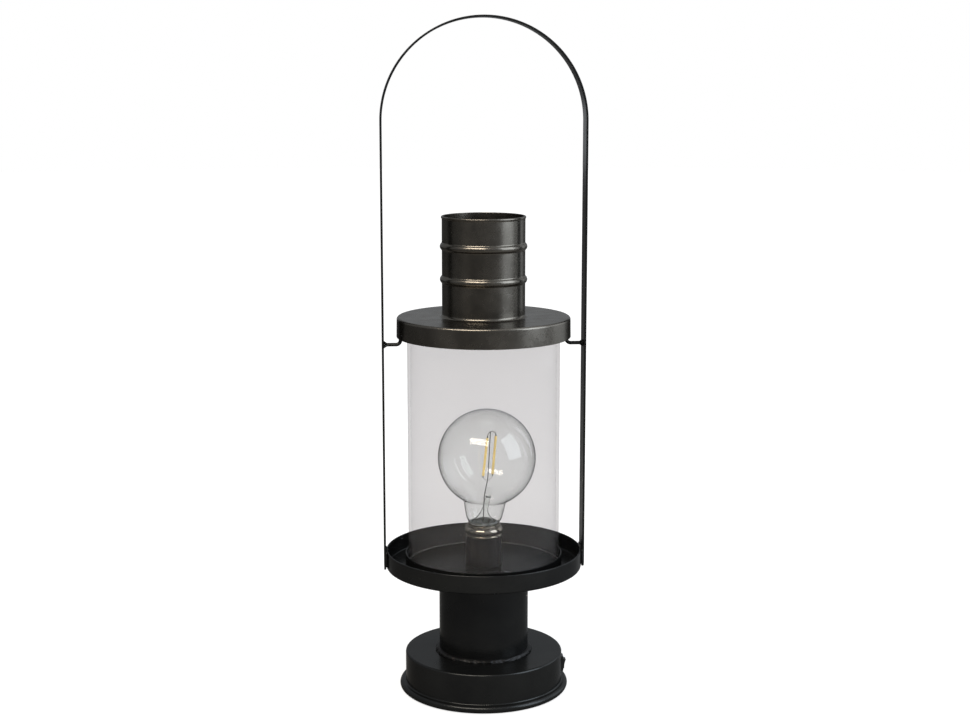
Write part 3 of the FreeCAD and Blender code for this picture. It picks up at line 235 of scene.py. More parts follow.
slotLooks = {
    "black_steel": "blackPaint", "weld_steel": "weldMetal", "bronze_steel": "bronzeLacquer",
    "sleeve_black": "sleevePaint", "nickel": "nickelPlate", "zinc_steel": "zincPlate",
    "brass": "yellowBrass", "solder": "dullSolder", "ceramic_white": "steatite",
    "clear_glass": "clearGlass", "bulb_glass": "bulbGlass", "black_glass": "darkGlass",
    "filament": "amberPhosphor", "support_wire": "supportWire", "circuit_board": "driverBoard",
    "switch_black": "mouldedBlack", "rubber": "blackRubber", "felt": "blackFelt",
    "block_plastic": "naturalNylon", "lead_brown": "brownLead", "lead_blue": "blueLead",
}
for part in frame["record"]["subparts"]:
    for place in nodes[part["node"]].material_slots:
        place.material = looks[slotLooks[part["material_slot"]]]
print("finishes:", len(looks))

madePieces = []


def profileWire(mesh, moves):
    # a move is (radius, height), with a third number where the edge is rounded afterwards,
    # or ("arc", centre radius, centre height, degrees, steps)
    last = bmesh.ops.create_vert(mesh, co=Vector((moves[0][0], 0, moves[0][1])) * mm)["vert"][0]
    for move in moves[1:]:
        if move[0] == "arc":
            spun = bmesh.ops.spin(mesh, geom=[last], cent=Vector((move[1], 0, move[2])) * mm, axis=(0, -1, 0),
                                  angle=math.radians(move[3]), steps=move[4], use_duplicate=False)
            last = [item for item in spun["geom_last"] if isinstance(item, bmesh.types.BMVert)][0]
        else:
            last = bmesh.ops.extrude_vert_indiv(mesh, verts=[last])["verts"][0]
            last.co = Vector((move[0], 0, move[1])) * mm


def atHeight(level, moves):
    # the same moves, with their heights counted from the given level
    return [("arc", move[1], level + move[2], *move[3:]) if move[0] == "arc"
            else (move[0], level + move[1], *move[2:]) for move in moves]


def mergeVerts(mesh):
    bmesh.ops.remove_doubles(mesh, verts=mesh.verts, dist=mergeGap)


def faceOut(mesh):
    bmesh.ops.recalc_face_normals(mesh, faces=mesh.faces)


def onlyFaces(items):
    return [item for item in items if isinstance(item, bmesh.types.BMFace)]


def crease(mesh, edges, size, steps=4):
    # rounds the edges over by so many millimetres
    bmesh.ops.bevel(mesh, geom=edges, offset=size * mm, offset_type="OFFSET", segments=steps, profile=0.5,
                    affect="EDGES", material=-1)


def pushOut(mesh, faces, move):
    # extrudes the faces by the move and gives back their new ends
    made = bmesh.ops.extrude_face_region(mesh, geom=faces)["geom"]
    bmesh.ops.translate(mesh, verts=[item for item in made if isinstance(item, bmesh.types.BMVert)], vec=move)
    return onlyFaces(made)


def roundLoops(mesh, moves):
    for move in moves:
        if move[0] == "arc" or len(move) < 3:
            continue
        spot = Vector((move[0], move[1])) * mm
        crease(mesh, [edge for edge in mesh.edges
                      if all((Vector((vert.co.xy.length, vert.co.z)) - spot).length < 0.02 * mm
                             for vert in edge.verts)], move[2])


def turnMesh(moves, segments, closed):
    # a closed profile is joined back to its start, an open one begins or ends on the axis
    mesh = bmesh.new()
    profileWire(mesh, moves + ([moves[0][:2]] if closed else []))
    mergeVerts(mesh)
    bmesh.ops.spin(mesh, geom=mesh.verts[:] + mesh.edges[:], cent=(0, 0, 0), axis=(0, 0, 1),
                   angle=fullTurn, steps=segments, use_merge=True)
    mergeVerts(mesh)
    faceOut(mesh)
    roundLoops(mesh, moves)
    return mesh


def asPiece(name, mesh, look, body, stands=()):
    # stands lists the CAD nodes that the piece takes the place of
    data = bpy.data.meshes.new(name)
    mesh.to_mesh(data)
    mesh.free()
    data.shade_smooth()
    data.set_sharp_from_angle(angle=sharpAngle)
    data.materials.append(looks[look])
    piece = bpy.data.objects.new(name, data)
    scene.collection.objects.link(piece)
    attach(piece, body)
    if stands:
        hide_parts(*stands)
    madePieces.append(piece)
    return piece


def turnPiece(name, moves, look, body, stands=(), segments=144, closed=True, reshape=None):
    mesh = turnMesh(moves, segments, closed)
    if reshape:
        reshape(mesh)
    return asPiece(name, mesh, look, body, stands)


def cutWith(piece, cutter):
    # takes the cutter's shape out of the piece for good, then throws the cutter away
    data = bpy.data.meshes.new("cutter")
    cutter.to_mesh(data)
    cutter.free()
    tool = bpy.data.objects.new("cutter", data)
    scene.collection.objects.link(tool)
    step = piece.modifiers.new("cut", "BOOLEAN")
    step.operation, step.object, step.solver = "DIFFERENCE", tool, "EXACT"
    bpy.context.view_layer.update()
    shaped = bpy.data.meshes.new_from_object(piece.evaluated_get(bpy.context.evaluated_depsgraph_get()))
    piece.modifiers.clear()
    piece.data = shaped
    shaped.set_sharp_from_angle(angle=sharpAngle)
    bpy.data.objects.remove(tool)
    bpy.data.meshes.remove(data)


def boxInto(mesh, low, high):
    size = (Vector(high) - Vector(low)) * mm
    middle = (Vector(high) + Vector(low)) / 2 * mm
    bmesh.ops.create_cube(mesh, size=1, matrix=Matrix.Translation(middle) @ Matrix.Diagonal((*size, 1)))


def barInto(mesh, radius, length, segments, place):
    # a round bar along the Z of the given place
    radius *= mm
    return bmesh.ops.create_cone(mesh, cap_ends=True, segments=segments, radius1=radius, radius2=radius,
                                 depth=length, matrix=place)["verts"]


base = {"leadHole": 12.0, "radius": 76.8, "top": 37.5, "wall": 1.5, "topRound": 2.0, "insideRound": 0.5,
        "ledge": 7.4, "ledgeRound": 1.5, "beadCentre": 79.1, "bead": 3.45,
        "switchWindow": ((60, -4.45, 14.0), (90, 4.45, 27.4)),
        "cordHole": 5.1, "cordSpot": (0, 80, 15), "cutLength": 30}


def makeBase():
    hole, radius, top, wall = base["leadHole"], base["radius"], base["top"], base["wall"]
    ledge, centre, bead, turned = base["ledge"], base["beadCentre"], base["bead"], base["ledgeRound"]
    level = ledge - bead
    piece = turnPiece("basePan", [
        (hole, top), (radius, top, base["topRound"]), (radius, ledge, turned), (centre, ledge),
        ("arc", centre, level, -180, 14), (centre, level - bead + wall), ("arc", centre, level, 180, 10),
        (radius - wall, ledge - wall, turned), (radius - wall, top - wall, base["insideRound"]),
        (hole, top - wall),
    ], "blackPaint", "lamp_frame", ["base_pan"], segments=180)
    cutter = bmesh.new()
    boxInto(cutter, *base["switchWindow"])
    place = Matrix.Translation(Vector(base["cordSpot"]) * mm) @ Matrix.Rotation(math.pi / 2, 4, "X")
    barInto(cutter, base["cordHole"], base["cutLength"] * mm, 48, place)
    cutWith(piece, cutter)


makeBase()

column = {"radius": 43.5, "wall": 1.5, "foot": 37.5, "head": 122.2}
# bulge is where the weld's rounded face has its centre, in sizes out and up, and its degrees and steps
columnWeld = {"size": 3.4, "overlap": 0.4, "sunk": 0.3, "toe": 0.1, "bulge": (0.1, 0.05, 88, 9),
              "ripples": 66, "slant": 0.35, "rippleDepth": 0.08, "wander": 0.3, "wanderTurns": 9,
              "wanderRise": 0.3, "least": 0.6}


def rippleWeld(mesh):
    # a wave for each stop of the torch, and a slow wander in how far the weld reaches
    weld, radius = columnWeld, column["radius"]
    for vert in mesh.verts:
        reach = vert.co.xy.length / mm
        rise = vert.co.z / mm - column["foot"]
        if reach < radius + weld["toe"] or rise < weld["toe"]:
            continue
        angle = math.atan2(vert.co.y, vert.co.x)
        wave = abs(math.sin(angle * weld["ripples"] / 2 + rise * weld["slant"])) - 0.5
        around = weld["wanderTurns"]
        spot = Vector((math.cos(angle) * around, math.sin(angle) * around, rise * weld["wanderRise"]))
        change = wave * weld["rippleDepth"] + noise.noise(spot) * weld["wander"]
        grow = 1 + change * min(rise, weld["size"] - rise, reach - radius + 1)
        vert.co.xy *= (radius + (reach - radius) * max(grow, weld["least"])) / reach


def makeColumn():
    radius, foot, head, size = column["radius"], column["foot"], column["head"], columnWeld["size"]
    inside = radius - column["wall"]
    turnPiece("columnTube", [(inside, foot), (radius, foot), (radius, head), (inside, head)],
              "blackPaint", "lamp_frame", ["column"])
    under, low = radius - columnWeld["overlap"], foot - columnWeld["sunk"]
    out, up, degrees, steps = columnWeld["bulge"]
    turnPiece("columnWeld", [
        (under, low), (radius + size, low), (radius + size, foot + columnWeld["toe"]),
        ("arc", radius + size * out, foot + size * up, degrees, steps), (under, foot + size),
    ], "weldMetal", "lamp_frame", (), segments=740, reshape=rippleWeld)


makeColumn()

tray = {"hole": 5.2, "radius": 95.1, "bottom": 122.2, "floor": 124.0, "rim": 139.8, "wall": 1.5,
        "cornerRound": 2.2, "rimRound": 0.6, "insideRound": 1.1}
gallery = {"inside": 75.2, "wall": 1.0, "top": 136.8, "rimRound": 0.35,
           "seam": [(74.2, 123.9), (75.3, 123.9), (75.3, 125.0), (74.9, 124.4, 0.3)]}


def makeTray():
    # the seam is a thin metal fillet around the inside of the gallery's foot that catches the light, and its
    # pale grey is a painted highlight along that edge
    turnPiece("gallerySeam", gallery["seam"], "paintedSeamHighlight", "lamp_frame", (), segments=180)
    hole, outside, bottom, floor = tray["hole"], tray["radius"], tray["bottom"], tray["floor"]
    inside, rim, turned = outside - tray["wall"], tray["rim"], tray["rimRound"]
    turnPiece("trayDish", [
        (hole, bottom), (outside, bottom, tray["cornerRound"]), (outside, rim, turned), (inside, rim, turned),
        (inside, floor, tray["insideRound"]), (hole, floor),
    ], "blackPaint", "lamp_frame", ["tray"], segments=180)
    inside, top, turned = gallery["inside"], gallery["top"], gallery["rimRound"]
    outside = inside + gallery["wall"]
    turnPiece("galleryRing", [
        (inside, floor), (outside, floor), (outside, top, turned), (inside, top, turned),
    ], "blackPaint", "lamp_frame", ["glass_gallery"], segments=180)


makeTray()

strap = {"half": 97.4, "thick": 2.0, "width": 26.0, "bottom": 122.2, "archLevel": 553.1, "archSteps": 120,
         "corner": 5.0, "edge": 0.35, "sharpFrom": 1.0}


def makeStrap():
    # the strip's section rises up one leg, turns over the arch and comes down the other leg
    middle, foot, level = strap["half"] - strap["thick"] / 2, strap["bottom"] * mm, strap["archLevel"] * mm
    mesh = bmesh.new()
    section = Matrix.Diagonal((strap["thick"] * mm, strap["width"] * mm, 1, 1))
    bmesh.ops.create_grid(mesh, x_segments=1, y_segments=1, size=0.5,
                          matrix=Matrix.Translation((middle * mm, 0, foot)) @ section)
    top = pushOut(mesh, mesh.faces[:], (0, 0, level - foot))
    spun = bmesh.ops.spin(mesh, geom=top, cent=(0, 0, level), axis=(0, -1, 0), angle=math.pi,
                          steps=strap["archSteps"])
    pushOut(mesh, onlyFaces(spun["geom_last"]), (0, 0, foot - level))
    mergeVerts(mesh)
    inside = [face for face in mesh.faces if all(len(edge.link_faces) > 2 for edge in face.edges)]
    bmesh.ops.delete(mesh, geom=inside, context="FACES_ONLY")
    faceOut(mesh)
    corners = [edge for edge in mesh.edges if all(vert.co.z < foot + mergeGap for vert in edge.verts)
               and abs(edge.verts[0].co.y - edge.verts[1].co.y) < mergeGap]
    crease(mesh, corners, strap["corner"], 8)
    crease(mesh, [edge for edge in mesh.edges
                  if edge.is_manifold and edge.calc_face_angle() > strap["sharpFrom"]], strap["edge"], 3)
    asPiece("strapHandle", mesh, "blackPaint", "lamp_frame", ["handle_strap"])


makeStrap()

weldShape = {"rippleDepth": 0.16, "rippleRun": 1.9, "thinned": 0.05, "rough": 0.5, "roughSize": 2.6}
strapWelds = (
    # name, middle, length, thickness, direction, seed: along the rim, then down both edges of the strap
    ("strapWeldRight", (94.8, 0, 140.0), 19.0, 1.2, (0, 1, 0), 1, ["handle_welds"]),
    ("strapWeldLeft", (-94.8, 0, 140.0), 19.0, 1.2, (0, 1, 0), 2),
    ("strapWeldRightFront", (95.3, -12.6, 133.0), 15.0, 1.25, (0, 0, 1), 3),
    ("strapWeldRightBack", (95.3, 12.6, 133.0), 15.0, 1.25, (0, 0, 1), 4),
    ("strapWeldLeftFront", (-95.3, -12.6, 133.0), 15.0, 1.25, (0, 0, 1), 5),
    ("strapWeldLeftBack", (-95.3, 12.6, 133.0), 15.0, 1.25, (0, 0, 1), 6),
)


def roughen(mesh, amount, size, seed):
    # moves every vertex a little along its own normal, by smooth noise
    mesh.normal_update()
    shift = Vector((seed * 3.7, seed * 1.3, seed * 2.1))
    moves = [vert.normal * noise.noise(vert.co / (size * mm) + shift) * amount * mm for vert in mesh.verts]
    for vert, move in zip(mesh.verts, moves):
        vert.co += move


def weldRun(name, middle, length, thick, direction, seed, stands=()):
    # a short run of weld metal: a long drop with ripples across it
    mesh = bmesh.new()
    middle, along = Vector(middle) * mm, Vector(direction)
    turn = Vector((0, 0, 1)).rotation_difference(along).to_matrix().to_4x4()
    size = Matrix.Diagonal((thick * mm, thick * mm, length * mm / 2, 1))
    bmesh.ops.create_uvsphere(mesh, u_segments=32, v_segments=72, radius=1,
                              matrix=Matrix.Translation(middle) @ turn @ size)
    for vert in mesh.verts:
        run = (vert.co - middle).dot(along)
        off = vert.co - middle - along * run
        wave = abs(math.sin(run / mm * weldShape["rippleRun"]))
        vert.co += off * (weldShape["rippleDepth"] * wave - weldShape["thinned"])
    roughen(mesh, weldShape["rough"], weldShape["roughSize"], seed)
    asPiece(name, mesh, "weldMetal", "lamp_frame", stands)


for weld in strapWelds:
    weldRun(*weld)
print("metal frame made")

switch = {"face": 76.9, "frame": 2.0, "height": 20.7, "halfWidth": 5.25, "halfLength": 7.7, "lip": 1.0,
          "bodyHalfWidth": 4.25, "bodyHalfLength": 6.5, "back": 64.9, "round": 1.2, "edge": 0.45,
          "cavity": 68.9, "wall": 0.5, "cavityRound": 0.5}
rocker = {"pivot": 75.3, "halfWidth": 3.25, "sideGap": 0.25, "tilt": 10.0, "tipRound": 0.9, "edge": 0.3,
          "sharpFrom": 0.7, "pinRadius": 1.1, "pinLength": 7.7, "tip": 5.6,
          "outline": [(-2.5, -2.4), (1.5, -4.7), (5.6, -5.1), (5.15, -2.0), (5.0, 0), (5.15, 2.0), (5.6, 5.1),
                      (1.5, 4.7), (-2.5, 2.4)]}
clearOf = 0.1 * mm  # edges longer than this along an axis count as running along it


def makeSwitchFrame():
    # a flat frame with a narrower body behind it, then the well that the key sits in
    face, front, height = switch["face"], switch["face"] + switch["frame"], switch["height"]
    wide, tall, lip = switch["halfWidth"], switch["halfLength"], switch["lip"]
    bodyWide, bodyTall = switch["bodyHalfWidth"], switch["bodyHalfLength"]
    mesh = bmesh.new()
    boxInto(mesh, (face, -wide, height - tall), (front, wide, height + tall))
    back = [item for item in mesh.faces if item.calc_center_median().x < (face + 0.01) * mm]
    bmesh.ops.inset_region(mesh, faces=back, thickness=lip * mm)
    squeeze = Matrix.Diagonal((1, bodyWide / (wide - lip), bodyTall / (tall - lip), 1))
    bmesh.ops.transform(mesh, matrix=squeeze, verts=back[0].verts,
                        space=Matrix.Translation((0, 0, -height * mm)))
    pushOut(mesh, back, ((switch["back"] - face) * mm, 0, 0))
    bmesh.ops.delete(mesh, geom=back, context="FACES_ONLY")
    faceOut(mesh)
    outer = [edge for edge in mesh.edges
             if all(abs(abs(vert.co.y) - wide * mm) < mergeGap for vert in edge.verts)
             and abs(edge.verts[0].co.x - edge.verts[1].co.x) > clearOf]
    crease(mesh, outer, switch["round"], 6)
    rim = [edge for edge in mesh.edges if all(vert.co.x > (front - 0.01) * mm for vert in edge.verts)]
    crease(mesh, rim, switch["edge"])
    piece = asPiece("switchFrame", mesh, "mouldedBlack", "lamp_frame", ["switch_housing"])
    hollow = bmesh.new()
    inWide, inTall = rocker["halfWidth"] + rocker["sideGap"], bodyTall - switch["wall"]
    boxInto(hollow, (switch["cavity"], -inWide, height - inTall), (front + 3, inWide, height + inTall))
    crease(hollow, [edge for edge in hollow.edges if abs(edge.verts[0].co.x - edge.verts[1].co.x) > clearOf],
           switch["cavityRound"], 3)
    cutWith(piece, hollow)


def makeRocker():
    # the key is drawn flat about its pin, pushed out to its width and then tilted in its place
    wide, outline = rocker["halfWidth"], rocker["outline"]
    mesh = bmesh.new()
    profileWire(mesh, outline + outline[:1])
    mergeVerts(mesh)
    pushOut(mesh, bmesh.ops.contextual_create(mesh, geom=mesh.edges[:])["faces"], (0, 2 * wide * mm, 0))
    bmesh.ops.translate(mesh, verts=mesh.verts, vec=(0, -wide * mm, 0))
    faceOut(mesh)
    tips = [edge for edge in mesh.edges if all(vert.co.x > (rocker["tip"] - 0.05) * mm for vert in edge.verts)
            and abs(edge.verts[0].co.y - edge.verts[1].co.y) > clearOf]
    crease(mesh, tips, rocker["tipRound"], 5)
    sharp = [edge for edge in mesh.edges if edge.calc_face_angle() > rocker["sharpFrom"]]
    crease(mesh, sharp, rocker["edge"], 3)
    barInto(mesh, rocker["pinRadius"], rocker["pinLength"] * mm, 24, Matrix.Rotation(math.pi / 2, 4, "X"))
    place = Matrix.Translation((rocker["pivot"] * mm, 0, switch["height"] * mm))
    tilt = Matrix.Rotation(math.radians(rocker["tilt"]), 4, "Y")
    bmesh.ops.transform(mesh, verts=mesh.verts, matrix=place @ tilt)
    asPiece("switchKey", mesh, "mouldedBlack", "rocker", ["switch_rocker"])


makeSwitchFrame()
makeRocker()

coverScrews = {"count": 3, "circle": 68.0, "first": 60.0, "low": 0.6, "crown": 1.7, "crownRise": 0.75,
               "head": 2.8, "round": 0.3, "seat": 2.0, "seatRound": 0.15, "shank": 1.45, "length": 6.0,
               "crossLength": 3.4, "crossWidth": 0.65, "crossDepth": 0.85, "crossTaper": 0.55,
               "turnEach": 0.4}


def makeCoverScrews():
    # pan heads with a cross recess, seen from below
    size = coverScrews
    low, seat, head, shank, turned = size["low"], size["seat"], size["head"], size["shank"], size["round"]
    tip = seat + size["length"]
    profile = [(0, low), (size["crown"], low), (head, low + size["crownRise"], turned),
               (head, seat, size["seatRound"]), (shank, seat), (shank, tip, turned), (0, tip)]
    long, wide = size["crossLength"] / 2, size["crossWidth"] / 2
    for number in range(size["count"]):
        angle = math.radians(size["first"] + number * 360 / size["count"])
        circle = size["circle"] * mm
        spot = Matrix.Translation((circle * math.cos(angle), circle * math.sin(angle), 0))
        screw = turnMesh(profile, 40, False)
        bmesh.ops.transform(screw, verts=screw.verts, matrix=spot)
        name, stands = "coverScrew%d" % (number + 1), ["cover_screws"] if number == 0 else ()
        piece = asPiece(name, screw, "zincPlate", "lamp_frame", stands)
        for quarter in (0, 1):
            cross = bmesh.new()
            boxInto(cross, (-long, -wide, low - 1), (long, wide, low + size["crossDepth"]))
            for vert in cross.verts:
                if vert.co.z > low * mm:
                    vert.co.x *= size["crossTaper"]
            turn = Matrix.Rotation(angle + size["turnEach"] * number + quarter * math.pi / 2, 4, "Z")
            bmesh.ops.transform(cross, verts=cross.verts, matrix=spot @ turn)
            cutWith(piece, cross)


makeCoverScrews()
print("switch and screws made")

# heights in neckProfile are counted from the foot of the neck,
# and join is in degrees around the globe from its lowest point
bulb = {"radius": 47.5, "centre": 230.4, "wall": 0.5, "neck": 162.0, "join": 26.1, "joinRound": 1.6,
        "lean": 2.6, "neckProfile": [(13.4, 0), (13.4, 3.7, 0.6), (15.3, 4.8, 0.6), (17.6, 9.4, 1.5)]}


def leanBulb(mesh):
    # the glass sits a little crooked in its screw cap
    turn = Matrix.Rotation(math.radians(bulb["lean"]), 3, "Y")
    bmesh.ops.rotate(mesh, verts=mesh.verts, cent=(0, 0, bulb["neck"] * mm), matrix=turn)


def makeGlobe():
    radius, centre, join = bulb["radius"], bulb["centre"], math.radians(bulb["join"])
    piece = turnPiece("bulbGlobe", atHeight(bulb["neck"], bulb["neckProfile"]) + [
        (radius * math.sin(join), centre - radius * math.cos(join), bulb["joinRound"]),
        ("arc", 0, centre, 180 - bulb["join"], 44),
    ], "bulbGlass", "bulb", ["bulb_glass"], segments=160, closed=False, reshape=leanBulb)
    wall = piece.modifiers.new("wall", "SOLIDIFY")
    wall.thickness, wall.offset, wall.use_even_offset = bulb["wall"] * mm, -1, True


makeGlobe()

# a flare that meets the neck, a tube, and the melted head that grips the wires:
# the flare's heights are counted from the foot of the neck, and the head's from headFoot above it
stem = {"bendFrom": 14, "bend": 0.2, "mostAside": 3.4, "headFoot": 28.6, "pinch": 0.55,
        "flare": [(12.2, 3.4), (12.2, 4.2, 0.2), (6.0, 9.5, 3.5), (3.0, 15.5, 3.0), (2.6, 30.0), (2.0, 30.0),
                  (2.4, 16.0, 3.0), (5.3, 9.4, 3.0), (11.4, 3.4, 0.3)],
        "head": [(0, 0), (1.8, 0), (2.9, 1.1, 0.5), (3.1, 4.5), (3.1, 6.9), ("arc", 0, 6.9, 90, 12)]}


def stemAside(mesh):
    # the stem bends off to one side above its flare, and then leans with the bulb
    for vert in mesh.verts:
        rise = max(0, vert.co.z / mm - bulb["neck"] - stem["bendFrom"])
        vert.co.x += min(rise * stem["bend"], stem["mostAside"]) * mm
    leanBulb(mesh)


def pinchedAside(mesh):
    bmesh.ops.scale(mesh, verts=mesh.verts, vec=(1, stem["pinch"], 1))
    stemAside(mesh)


turnPiece("bulbStem", atHeight(bulb["neck"], stem["flare"]),
          "stemGlass", "bulb", ["bulb_stem"], segments=72, reshape=stemAside)
turnPiece("stemHead", atHeight(bulb["neck"] + stem["headFoot"], stem["head"]),
          "bulbGlass", "bulb", (), segments=48, closed=False, reshape=pinchedAside)


def rodPiece(name, rods, look, stands, edge):
    # round bars from point to point, each with its own radius
    mesh = bmesh.new()
    for start, end, radius in rods:
        start, end = Vector(start) * mm, Vector(end) * mm
        turn = Vector((0, 0, 1)).rotation_difference(end - start).to_matrix().to_4x4()
        made = barInto(mesh, radius, (end - start).length, 20, Matrix.Translation((start + end) / 2) @ turn)
        rims = [item for vert in made for item in vert.link_edges if item.calc_face_angle() > 1.0]
        crease(mesh, list(dict.fromkeys(rims)), edge, 3)
    leanBulb(mesh)
    asPiece(name, mesh, look, "bulb", stands)


def wirePiece(name, routes, look, stands):
    # thin wires, each a smooth curve past its own points
    mesh = bmesh.new()
    for radius, route in routes:
        curve = bpy.data.curves.new(name, "CURVE")
        curve.dimensions, curve.bevel_depth, curve.bevel_resolution = "3D", radius * mm, 3
        curve.use_fill_caps, curve.resolution_u = True, 8
        line = curve.splines.new("NURBS")
        line.points.add(len(route) - 1)
        for point, spot in zip(line.points, route):
            point.co = (*(Vector(spot) * mm), 1)
        line.order_u, line.use_endpoint_u = 3, True
        holder = bpy.data.objects.new(name, curve)
        shaped = bpy.data.meshes.new_from_object(holder)
        mesh.from_mesh(shaped)
        bpy.data.objects.remove(holder)
        bpy.data.curves.remove(curve)
        bpy.data.meshes.remove(shaped)
    mergeVerts(mesh)
    faceOut(mesh)
    leanBulb(mesh)
    asPiece(name, mesh, look, "bulb", stands)


filaments = {"length": 41.0, "radius": 1.2, "feet": ((-3.0, -2.5, 211.0), (6.5, 2.5, 212.0)),
             "leans": (2.6, 1.6), "bare": 1.6, "tip": 1.7, "tipRadius": 0.55, "edge": 0.3, "tipEdge": 0.12}
supports = {"footWire": 0.15, "crossing": (1.9, -0.4, 207.4), "footLevel": 208.6, "footDrop": 0.8,
            "headWire": 0.3, "head": (2.4, 0, 256.0), "headRise": 1.6, "overlap": 0.5, "reach": 1.2,
            "riserWire": 0.42,
            "riser": ((-0.9, -4.3, 168.0), (-0.9, -4.3, 176.0), (-1.2, -4.3, 190.0), (-0.8, -3.4, 195.0),
                      (1.7, -0.6, 208.0), (2.0, 0, 213.0), (2.2, 0, 235.0), (2.3, 0, 252.0))}


def makeFilaments():
    # two coated sticks with metal tips, a fine wire to each foot, and a bent one from each top to the riser
    length, bare, tip = filaments["length"], filaments["bare"], filaments["tip"]
    sticks, tips, wires = [], [], []
    head = Vector(supports["head"])
    for foot, lean in zip(filaments["feet"], filaments["leans"]):
        foot = Vector(foot)
        along = Vector((lean, 0, math.sqrt(length ** 2 - lean ** 2))) / length
        top = foot + along * length
        sticks.append((foot + along * bare, top - along * bare, filaments["radius"]))
        tips.append((foot, foot + along * tip, filaments["tipRadius"]))
        tips.append((top - along * tip, top, filaments["tipRadius"]))
        below = Vector((foot.x * 0.5 + 1.0, foot.y * 0.4, supports["footLevel"]))
        route = (foot, foot - along * supports["footDrop"], below, supports["crossing"])
        wires.append((supports["footWire"], route))
        over = head + (top - head) * 0.5 + Vector((0, 0, supports["headRise"]))
        route = (top - along * supports["overlap"], top + along * supports["reach"], over, head)
        wires.append((supports["headWire"], route))
    wires.append((supports["riserWire"], (*supports["riser"], head)))
    rodPiece("filamentSticks", sticks, "amberPhosphor", ["bulb_filaments"], filaments["edge"])
    rodPiece("filamentTips", tips, "supportWire", (), filaments["tipEdge"])
    wirePiece("supportWires", wires, "supportWire", ["bulb_support_wires"])


makeFilaments()

thread = {"pitch": 3.629, "step": 0.45, "runOut": 1.2}
screwShell = {"outside": 14.05, "inside": 13.65, "low": 144, "high": 159, "wave": 0.3}
screwCap = {"outside": 12.95, "inside": 12.3, "low": 144.6, "high": 158.9, "wave": 0.28,
            "foot": [(11.7, 142.6), (12.1, 142.6)],
            "collar": [(14.25, 160.9), (14.25, 165.4), (13.75, 165.4), (13.75, 161.5), (12.3, 159.5)]}
neckCement = {"profile": [(0, 160.9), (11.6, 160.9), (13.6, 161.9), (13.7, 165.2, 0.2), (13.45, 165.3),
                          (12.45, 167.6, 0.3), (11.6, 164.9, 1.2), (8.5, 163.0, 2.0), (0, 162.4)]}
rimRing = {"profile": [(14.8, 153), (17.4, 153), ("arc", 15.9755, 153.9, 64.54, 6), (16.9, 155.2),
                       ("arc", 14.36, 158.7, 108, 12), (16.2, 162.5), (16.2, 164.8, 0.5), (14.8, 164.8, 0.4)]}


def screwThread(piece):
    # turns the straight wall into a thread that fades out at both ends
    low, high, runOut = piece["low"], piece["high"], thread["runOut"]

    def reshape(mesh):
        for vert in mesh.verts:
            reach, rise = vert.co.xy.length / mm, vert.co.z / mm
            if low < rise < high:
                fade = min(1, (rise - low) / runOut, (high - rise) / runOut)
                turn = fullTurn * rise / thread["pitch"] - math.atan2(vert.co.y, vert.co.x)
                vert.co.xy *= (reach + piece["wave"] * fade * math.sin(turn)) / reach
    return reshape


def threadWalls(piece):
    # the outside wall going up and the inside wall coming down, with points close enough to carry a thread
    low, high = piece["low"], piece["high"]
    count = round((high - low) / thread["step"])
    rises = [(high - low) * number / count for number in range(count + 1)]
    return ([(piece["outside"], low + rise) for rise in rises],
            [(piece["inside"], high - rise) for rise in rises])


up, down = threadWalls(screwShell)
turnPiece("screwShell", up + down, "yellowBrass", "lamp_frame", ["holder_screw_shell"],
          segments=96, reshape=screwThread(screwShell))
up, down = threadWalls(screwCap)
turnPiece("bulbScrewCap", screwCap["foot"] + up + screwCap["collar"] + down,
          "nickelPlate", "bulb", ["bulb_cap"], segments=96, reshape=screwThread(screwCap))
turnPiece("neckCement", neckCement["profile"],
          "neckCement", "bulb", (), segments=96, closed=False)
turnPiece("rimRing", rimRing["profile"],
          "nickelPlate", "lamp_frame", ["holder_rim_ring"], segments=120)
print("bulb and lampholder made")

glassTube = {"inside": 70.3, "outside": 73.3, "foot": 124, "top": 367.5, "edge": 0.9}
capLid = {"profile": [(38.7, 367.5), (81.8, 367.5, 1.0), (82.1, 349.7, 0.36), (83.3, 349.7, 0.36),
                      (83.0, 368.9, 2.2), (38.7, 368.9)]}
# a bead's arc, outside and inside the sheet, is the radius of its centre and its degrees,
# and the rim's points are counted outwards and upwards from the top of the outside wall
chimney = {"outer": 39.7, "inner": 38.7, "foot": 368.9, "top": 464.7, "flare": 3.0, "beads": (404.6, 436.0),
           "beadHalf": 3.4, "beadEdge": 0.8, "beadArc": (37.608, 116.8), "hollowHalf": 3.1,
           "hollowArc": (36.724, -115.0), "rim": ((0, -2.5, 0.6), (0.7, -1.9, 0.5), (0.7, 0, 0.9)),
           "rimInside": 0.4}


def makeTube():
    inside, outside, edge = glassTube["inside"], glassTube["outside"], glassTube["edge"]
    foot, top = glassTube["foot"], glassTube["top"]
    turnPiece("glassTube", [
        (inside, foot, edge), (outside, foot, edge), (outside, top, edge), (inside, top, edge),
    ], "clearGlass", "glass", ["glass_cylinder"], segments=192)


def makeChimney():
    outer, inner, foot, top = chimney["outer"], chimney["inner"], chimney["foot"], chimney["top"]
    flare, half, edge = chimney["flare"], chimney["beadHalf"], chimney["beadEdge"]
    side = [(outer + flare, foot), ("arc", outer + flare, foot + flare, -90, 6)]
    for middle in chimney["beads"]:
        centre, turn = chimney["beadArc"]
        side += [(outer, middle - half, edge), ("arc", centre, middle, turn, 14)]
        side += [(outer, middle + half, edge)]
    side += [(outer + out, top + up, turned) for out, up, turned in chimney["rim"]]
    side += [(inner, top, chimney["rimInside"])]
    for middle in reversed(chimney["beads"]):
        centre, turn = chimney["hollowArc"]
        side += [(inner, middle + chimney["hollowHalf"]), ("arc", centre, middle, turn, 14)]
    side += [(inner, foot)]
    turnPiece("chimneyTube", side, "bronzeLacquer", "cap", ["chimney"], segments=160)


